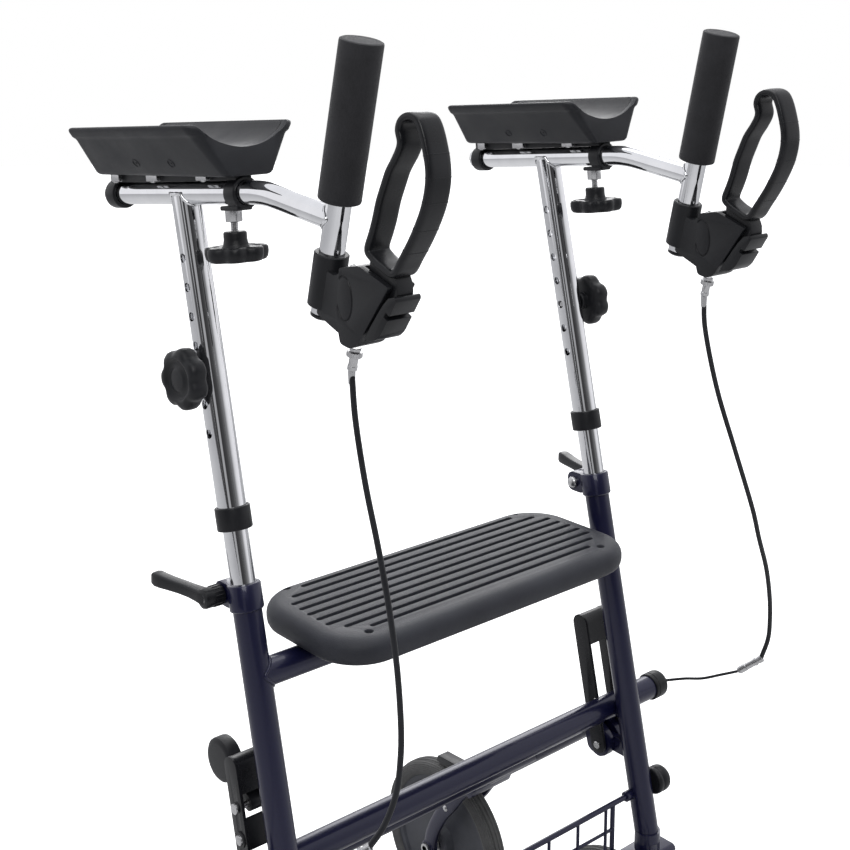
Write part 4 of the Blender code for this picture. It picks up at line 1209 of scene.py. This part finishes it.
def build_seat():
    place = centre_frame()
    rings = []
    levels = [(-26, 14, 34), (-25.4, 9, 39), (-24, 5.4, 42.6), (-21.5, 2.2, 45.8),
              (-18.5, 0.6, 47.4), (-15, 0, 48), (-11, 0, 48), (-8, 0.6, 47.4), (-5.2, 2.0, 46),
              (-3, 4.2, 43.8), (-1.3, 7.4, 40.6), (-0.4, 11, 37), (0, 15, 33)]
    for rise, inset, corner in levels:
        flat = rounded(-186 + inset, 186 - inset, -163 + inset, -10 - inset, corner, 16)
        rings.append([(x, y, SEAT_Z + rise) for x, y in flat])
    seat = loose("seat_fine", lofted(rings), place, SEAT, 40)
    minus = []
    for k, half in enumerate(GROOVES):
        y = -27.5 - 13.425 * k
        flat = capsule((-half + 2.7, y), (half - 2.7, y), 2.7, 10)
        minus.append(lofted([[(x, py, z) for x, py in flat] for z in (SEAT_Z - 2.8, SEAT_Z + 3)]))
    for x in (-147.4, 147.4):
        for y in (-20.6, -142.3):
            minus.append(turned([(3.4, -5), (3.4, -1.5), (4.6, 0.6), (4.6, 4)], 32, Z_AXIS,
                                (x, y, SEAT_Z)))
    minus.append(rod(POST_R + 0.3, -150, 150, X_AXIS, (0, *SEAT_TUBE), 56))
    shape(seat, place, minus=minus)
    bevel(seat, 0.55, 2, 50, 40)
    put(seat, "seat", "seat")
    for x in (-147.4, 147.4):
        for y in (-20.6, -142.3):
            tag = f"{'l' if x > 0 else 'r'}{'b' if y > -80 else 'f'}"
            head = turned([(3.1, -4.8), (3.1, -3.6), (2.4, -3.0), (0.01, -2.9)], 28, Z_AXIS,
                          (x, y, SEAT_Z))
            simple("seat_screw_" + tag, head, place, PAINT_BLACK, "seat")
    for tag, x in (("right", -116), ("left", 104)):
        strap = turned([(16.5, x + 0.6), (16.5, x + 11.4), (15.9, x + 12), (13.1, x + 12),
                        (13.1, x), (15.9, x)], 56, X_AXIS, (0, *SEAT_TUBE), ring=True)
        simple(f"seat_clamp_{tag}", strap, place, BLACK, "seat")
        for dy in (-24, 24):
            y = SEAT_TUBE[0] + dy
            ear = plate(rounded(y - 9, y + 9, -346.2, -342.9, 1.2, 3), x + 0.4, x + 11.6)
            simple(f"seat_ear_{tag}_{'f' if dy < 0 else 'b'}", ear, place, BLACK, "seat",
                   ease=0.4)
            screw_head(f"seat_bolt_{tag}_{'f' if dy < 0 else 'b'}", (x + 6, y, -346.1),
                       (0, 0, -1), 3.6, 2.4, place, "seat")


def build_basket():
    place = centre_frame()
    wires = []
    front, back, low, rim, top = -256.2, -137.0, -693.2, -668.0, -613.0
    side = 182.0
    loop = [Vector((x, y, rim)) for x, y in rounded(-side, side, front, back, 14, 8)]
    wires.append(closed_bar(loop, 2.6))
    wires.append(rod(2.9, -209, 209, X_AXIS, (0, back, top), 20))
    for k in range(9):
        x = -170 + 42.5 * k
        run = eased([(front + 1.2, rim), (front + 1.2, low), (back - 1.2, low),
                     (back - 1.2, top)], 8, 6)
        wires.append(piped([(x, y, z) for y, z in run], 1.8, 12))
    for y in (-232, -202, -172):
        run = eased([(-side + 1.2, rim), (-side + 1.2, low + 3.2), (side - 1.2, low + 3.2),
                     (side - 1.2, rim)], 8, 6)
        wires.append(piped([(x, y, z) for x, z in run], 1.8, 12))
    wires.append(rod(1.8, -side, side, X_AXIS, (0, back, -642), 12))
    for sign in (-1, 1):
        wires.append(piped([(sign * side, back, rim), (sign * side, back, top)], 2.6, 16))
        wires.append(rod(4.4, sign * 204.5, sign * 209.2, X_AXIS, (0, -137, -613), 28))
    simple("basket_wires", joined(wires), place, BLUE, "frame", "basket", sharp=60)


def closed_bar(points, radius, sides=14, out=Z_AXIS):
    """A round bar along a closed loop that lies square to a direction."""
    rings = []
    for i, at in enumerate(points):
        run = (points[(i + 1) % len(points)] - points[i - 1]).normalized()
        rings.append(circle(at, out, run.cross(out).normalized(), radius, sides))
    return lofted(rings, True)


def build_middle():
    place = centre_frame()
    outline = [(POST_R - 0.6, -290), (POST_R, -289.4), (POST_R, 289.4), (POST_R - 0.6, 290)]
    bar = turned(outline, 64, X_AXIS, (0, *CROSSBAR))
    simple("crossbar_fine", bar, place, BLUE, "frame", "crossbar")
    tube = loose("seat_tube_fine", rod(POST_R, -221, 221, X_AXIS, (0, *SEAT_TUBE), 64), place,
                 BLUE)
    for side in (-1, 1):
        shape(tube, side_frame(side), minus=[rod(POST_R + 0.2, -420, -320, POST_AXIS,
                                                 sides=64)])
    put(tube, "frame", "seat_tube")
    share = (8.0 - LEG_TOP[1]) / (LEG_FOOT[1] - LEG_TOP[1])
    height = LEG_TOP[2] + share * (LEG_FOOT[2] - LEG_TOP[2])
    rear = loose("rear_cross_tube_fine", rod(9.5, -213, 213, X_AXIS, (0, 8, height), 56), place,
                 BLUE)
    for side in (-1, 1):
        shape(rear, side_frame(side), minus=[piped([LEG_TOP, LEG_FOOT], 11.2, 56)])
    put(rear, "rear_frame", "rear_cross_tube")

    for side, label in ((-1, "right_"), (1, "left_")):
        cap = [(13.2, 284), (14.2, 284.5), (14.6, 285.5), (14.6, 287.6), (14.1, 288.1),
               (14.1, 289.1), (14.6, 289.6), (14.6, 299), (14.0, 301.6), (12.0, 304),
               (9.0, 305.6), (5.2, 306), (4.2, 305.2), (3.8, 302.5), (0.01, 302.5)]
        cap = loose(label + "crossbar_cap_fine", turned(cap, 64, X_AXIS * side, (0, *CROSSBAR)),
                    place, BLACK, 40)
        shape(cap, place, minus=[rod(POST_R + 0.2, 270, 290.4, X_AXIS * side, (0, *CROSSBAR),
                                     64)])
        put(cap, "frame", label + "crossbar_cap")
        post_x = side * POST_X
        bead = []
        for _, y, z in circle(Vector((0, *SEAT_TUBE)), Y_AXIS, Z_AXIS, 12.9, 32):
            offset = (y - z * math.tan(LEAN)) * math.cos(LEAN)
            reach = math.sqrt(max(0, (POST_R + 0.1) ** 2 - offset ** 2))
            bead.append((post_x - side * reach, y, z))
        simple(label + "weld_seat", piped(bead + bead[:1], 1.5, 10), place, BLUE, "frame",
               sharp=80)
        y = CROSSBAR[0] - 4
        gusset = plate(rounded(y - 24, y - 2, CROSSBAR[1] - 7, CROSSBAR[1] + 7, 3, 4), -3.6, 3.6)
        gusset = loose(label + "bar_gusset", gusset, side_frame(side), BLUE)
        shape(gusset, side_frame(side), minus=[
            rod(POST_R - 0.4, -40, 40, X_AXIS, (0, *CROSSBAR), 48),
            rod(POST_R - 0.4, -600, -460, POST_AXIS, sides=48)])
        put(gusset, "frame")

    right = side_frame(-1)
    pin = (0, *LATCH_PIN)
    bar = loose("fold_lever_fine", plate(capsule(LATCH_PIN, (-34, -460), 7, 14), -7, 7), right,
                BLACK)
    disc = turned([(15, -7.5), (18.2, -7.2), (20.1, -5.6), (20.5, -3.5), (20.5, 3.5),
                   (20.1, 5.6), (18.2, 7.2), (15, 7.5)], 72, X_AXIS, (0, -27, -457))
    dish = turned([(14, -9), (14, -6.9), (12.6, -6.3), (0.01, -6.2)], 56, X_AXIS,
                  (0, -27, -457))
    shape(bar, right, [disc], [dish])
    bevel(bar, 0.8, 3, 45)
    put(bar, "fold_lever", "fold_lever")
    pin_rod = turned([(4.8, -21.6), (5, -20.4), (3.0, -20.2), (3.0, 20.2), (5, 20.2),
                      (4.8, 21.4)], 28, X_AXIS, pin)
    simple("fold_lever_pin", pin_rod, right, ZINC, "fold_lever")


# ---- the whole -----------------------------------------------------------

for side, label in ((-1, "right_"), (1, "left_")):
    fixed = side_frame(side)
    upper = handle_frame(side)
    build_post(label, fixed)
    build_collar(label, fixed)
    build_tubes(label, upper)
    build_height_knob(label, upper)
    build_trough(label, upper)
    build_trough_clamp(label, upper)
    build_trough_knob(label, upper)
    build_grip(label, upper)
    build_housing(label, upper)
    build_lever(label, upper)
    build_adjuster(label, upper)
    build_cable(label, side, upper)
    build_rear(label, fixed)
    build_castor(label, fixed)
    build_latch(label, fixed, side < 0)
build_middle()
build_seat()
build_basket()

# ---- floor, world and lights ---------------------------------------------


def stage():
    bm = bmesh.new()
    bmesh.ops.create_circle(bm, cap_ends=True, radius=9, segments=96)
    mesh = bpy.data.meshes.new("floor")
    bm.to_mesh(mesh)
    bm.free()
    n = Nodes("floor")
    cloud = n.noise(1.5, 3, 0.5)
    seen = n.node("ShaderNodeLightPath").outputs["Is Camera Ray"]
    n.set(Base_Color=n.ramp(cloud, 0.56, 0.60), Roughness=0.75,
          Emission_Color=(1, 1, 1, 1), Emission_Strength=seen)
    mesh.materials.append(n.mat)
    floor = bpy.data.objects.new("floor", mesh)
    floor.location = (0, 0, -0.0005)
    bpy.context.scene.collection.objects.link(floor)


def light(name, kind, energy, place, aim, size, tone=(1, 1, 1), size_y=None):
    data = bpy.data.lights.new(name, kind)
    data.energy = energy
    data.color = tone
    if kind == "AREA":
        data.shape = "RECTANGLE"
        data.size = size
        data.size_y = size_y or size
    obj = bpy.data.objects.new(name, data)
    obj.location = place
    obj.rotation_euler = (Vector(aim) - Vector(place)).to_track_quat("-Z", "Y").to_euler()
    bpy.context.scene.collection.objects.link(obj)


def sky():
    """A white studio: bright ahead and at the sides, dim behind the lens."""
    world = bpy.data.worlds.new("studio")
    bpy.context.scene.world = world
    world.use_nodes = True
    tree = world.node_tree
    tree.nodes.clear()
    add = tree.nodes.new
    link = tree.links.new
    coords = add("ShaderNodeTexCoord").outputs["Generated"]
    split = add("ShaderNodeSeparateXYZ")
    link(coords, split.inputs[0])
    turn = add("ShaderNodeMath")
    turn.operation = "ARCTAN2"
    link(split.outputs["Y"], turn.inputs[0])
    link(split.outputs["X"], turn.inputs[1])
    share = add("ShaderNodeMapRange")
    share.inputs["From Min"].default_value = -math.pi
    share.inputs["From Max"].default_value = math.pi
    link(turn.outputs[0], share.inputs["Value"])
    bands = add("ShaderNodeValToRGB")
    stops = BANDS
    ramp = bands.color_ramp
    while len(ramp.elements) < len(stops):
        ramp.elements.new(0.5)
    for element, (place, tone) in zip(ramp.elements, stops):
        element.position = place
        element.color = (tone, tone, tone * 1.03, 1)
    link(share.outputs[0], bands.inputs["Fac"])
    rise = add("ShaderNodeValToRGB")
    rise.color_ramp.elements[0].position = 0.45
    rise.color_ramp.elements[0].color = (0, 0, 0, 1)
    rise.color_ramp.elements[1].position = 0.95
    rise.color_ramp.elements[1].color = (1, 1, 1, 1)
    link(split.outputs["Z"], rise.inputs["Fac"])
    mixed = add("ShaderNodeMix")
    mixed.data_type = "RGBA"
    link(rise.outputs["Color"], mixed.inputs[0])
    link(bands.outputs["Color"], mixed.inputs[6])
    mixed.inputs[7].default_value = (0.90, 0.91, 0.95, 1)
    path = add("ShaderNodeLightPath")
    final = add("ShaderNodeMix")
    final.data_type = "RGBA"
    link(path.outputs["Is Camera Ray"], final.inputs[0])
    link(mixed.outputs[2], final.inputs[6])
    final.inputs[7].default_value = (1, 1, 1, 1)
    back = add("ShaderNodeBackground")
    link(final.outputs[2], back.inputs["Color"])
    back.inputs["Strength"].default_value = 1.0
    out = add("ShaderNodeOutputWorld")
    link(back.outputs[0], out.inputs["Surface"])


def turn_share(degrees):
    """Where a direction's turn, counted from +X, falls on the ramp."""
    return ((degrees + 180) % 360) / 360


BANDS = sorted([(0.0, 0.55), (turn_share(-30), 0.95), (turn_share(-52), 0.8),
                (turn_share(-70), 0.25), (turn_share(-100), 0.07), (turn_share(-124), 0.04),
                (turn_share(-129), 0.42), (turn_share(-140), 0.42), (turn_share(-145), 0.04),
                (turn_share(-172), 0.10), (turn_share(168), 0.45), (turn_share(150), 0.95),
                (turn_share(60), 1.0), (0.9999, 0.55)])

stage()
sky()
light("key", "AREA", 30, (-1.6, -1.9, 2.7), (0, 0, 0.7), 1.5)
light("top", "AREA", 26, (0.3, 0.2, 3.0), (0, 0, 0.5), 2.2)
light("rim", "AREA", 20, (1.7, 1.8, 1.8), (0, 0, 0.8), 1.4)
bpy.context.scene.view_settings.view_transform = "Standard"
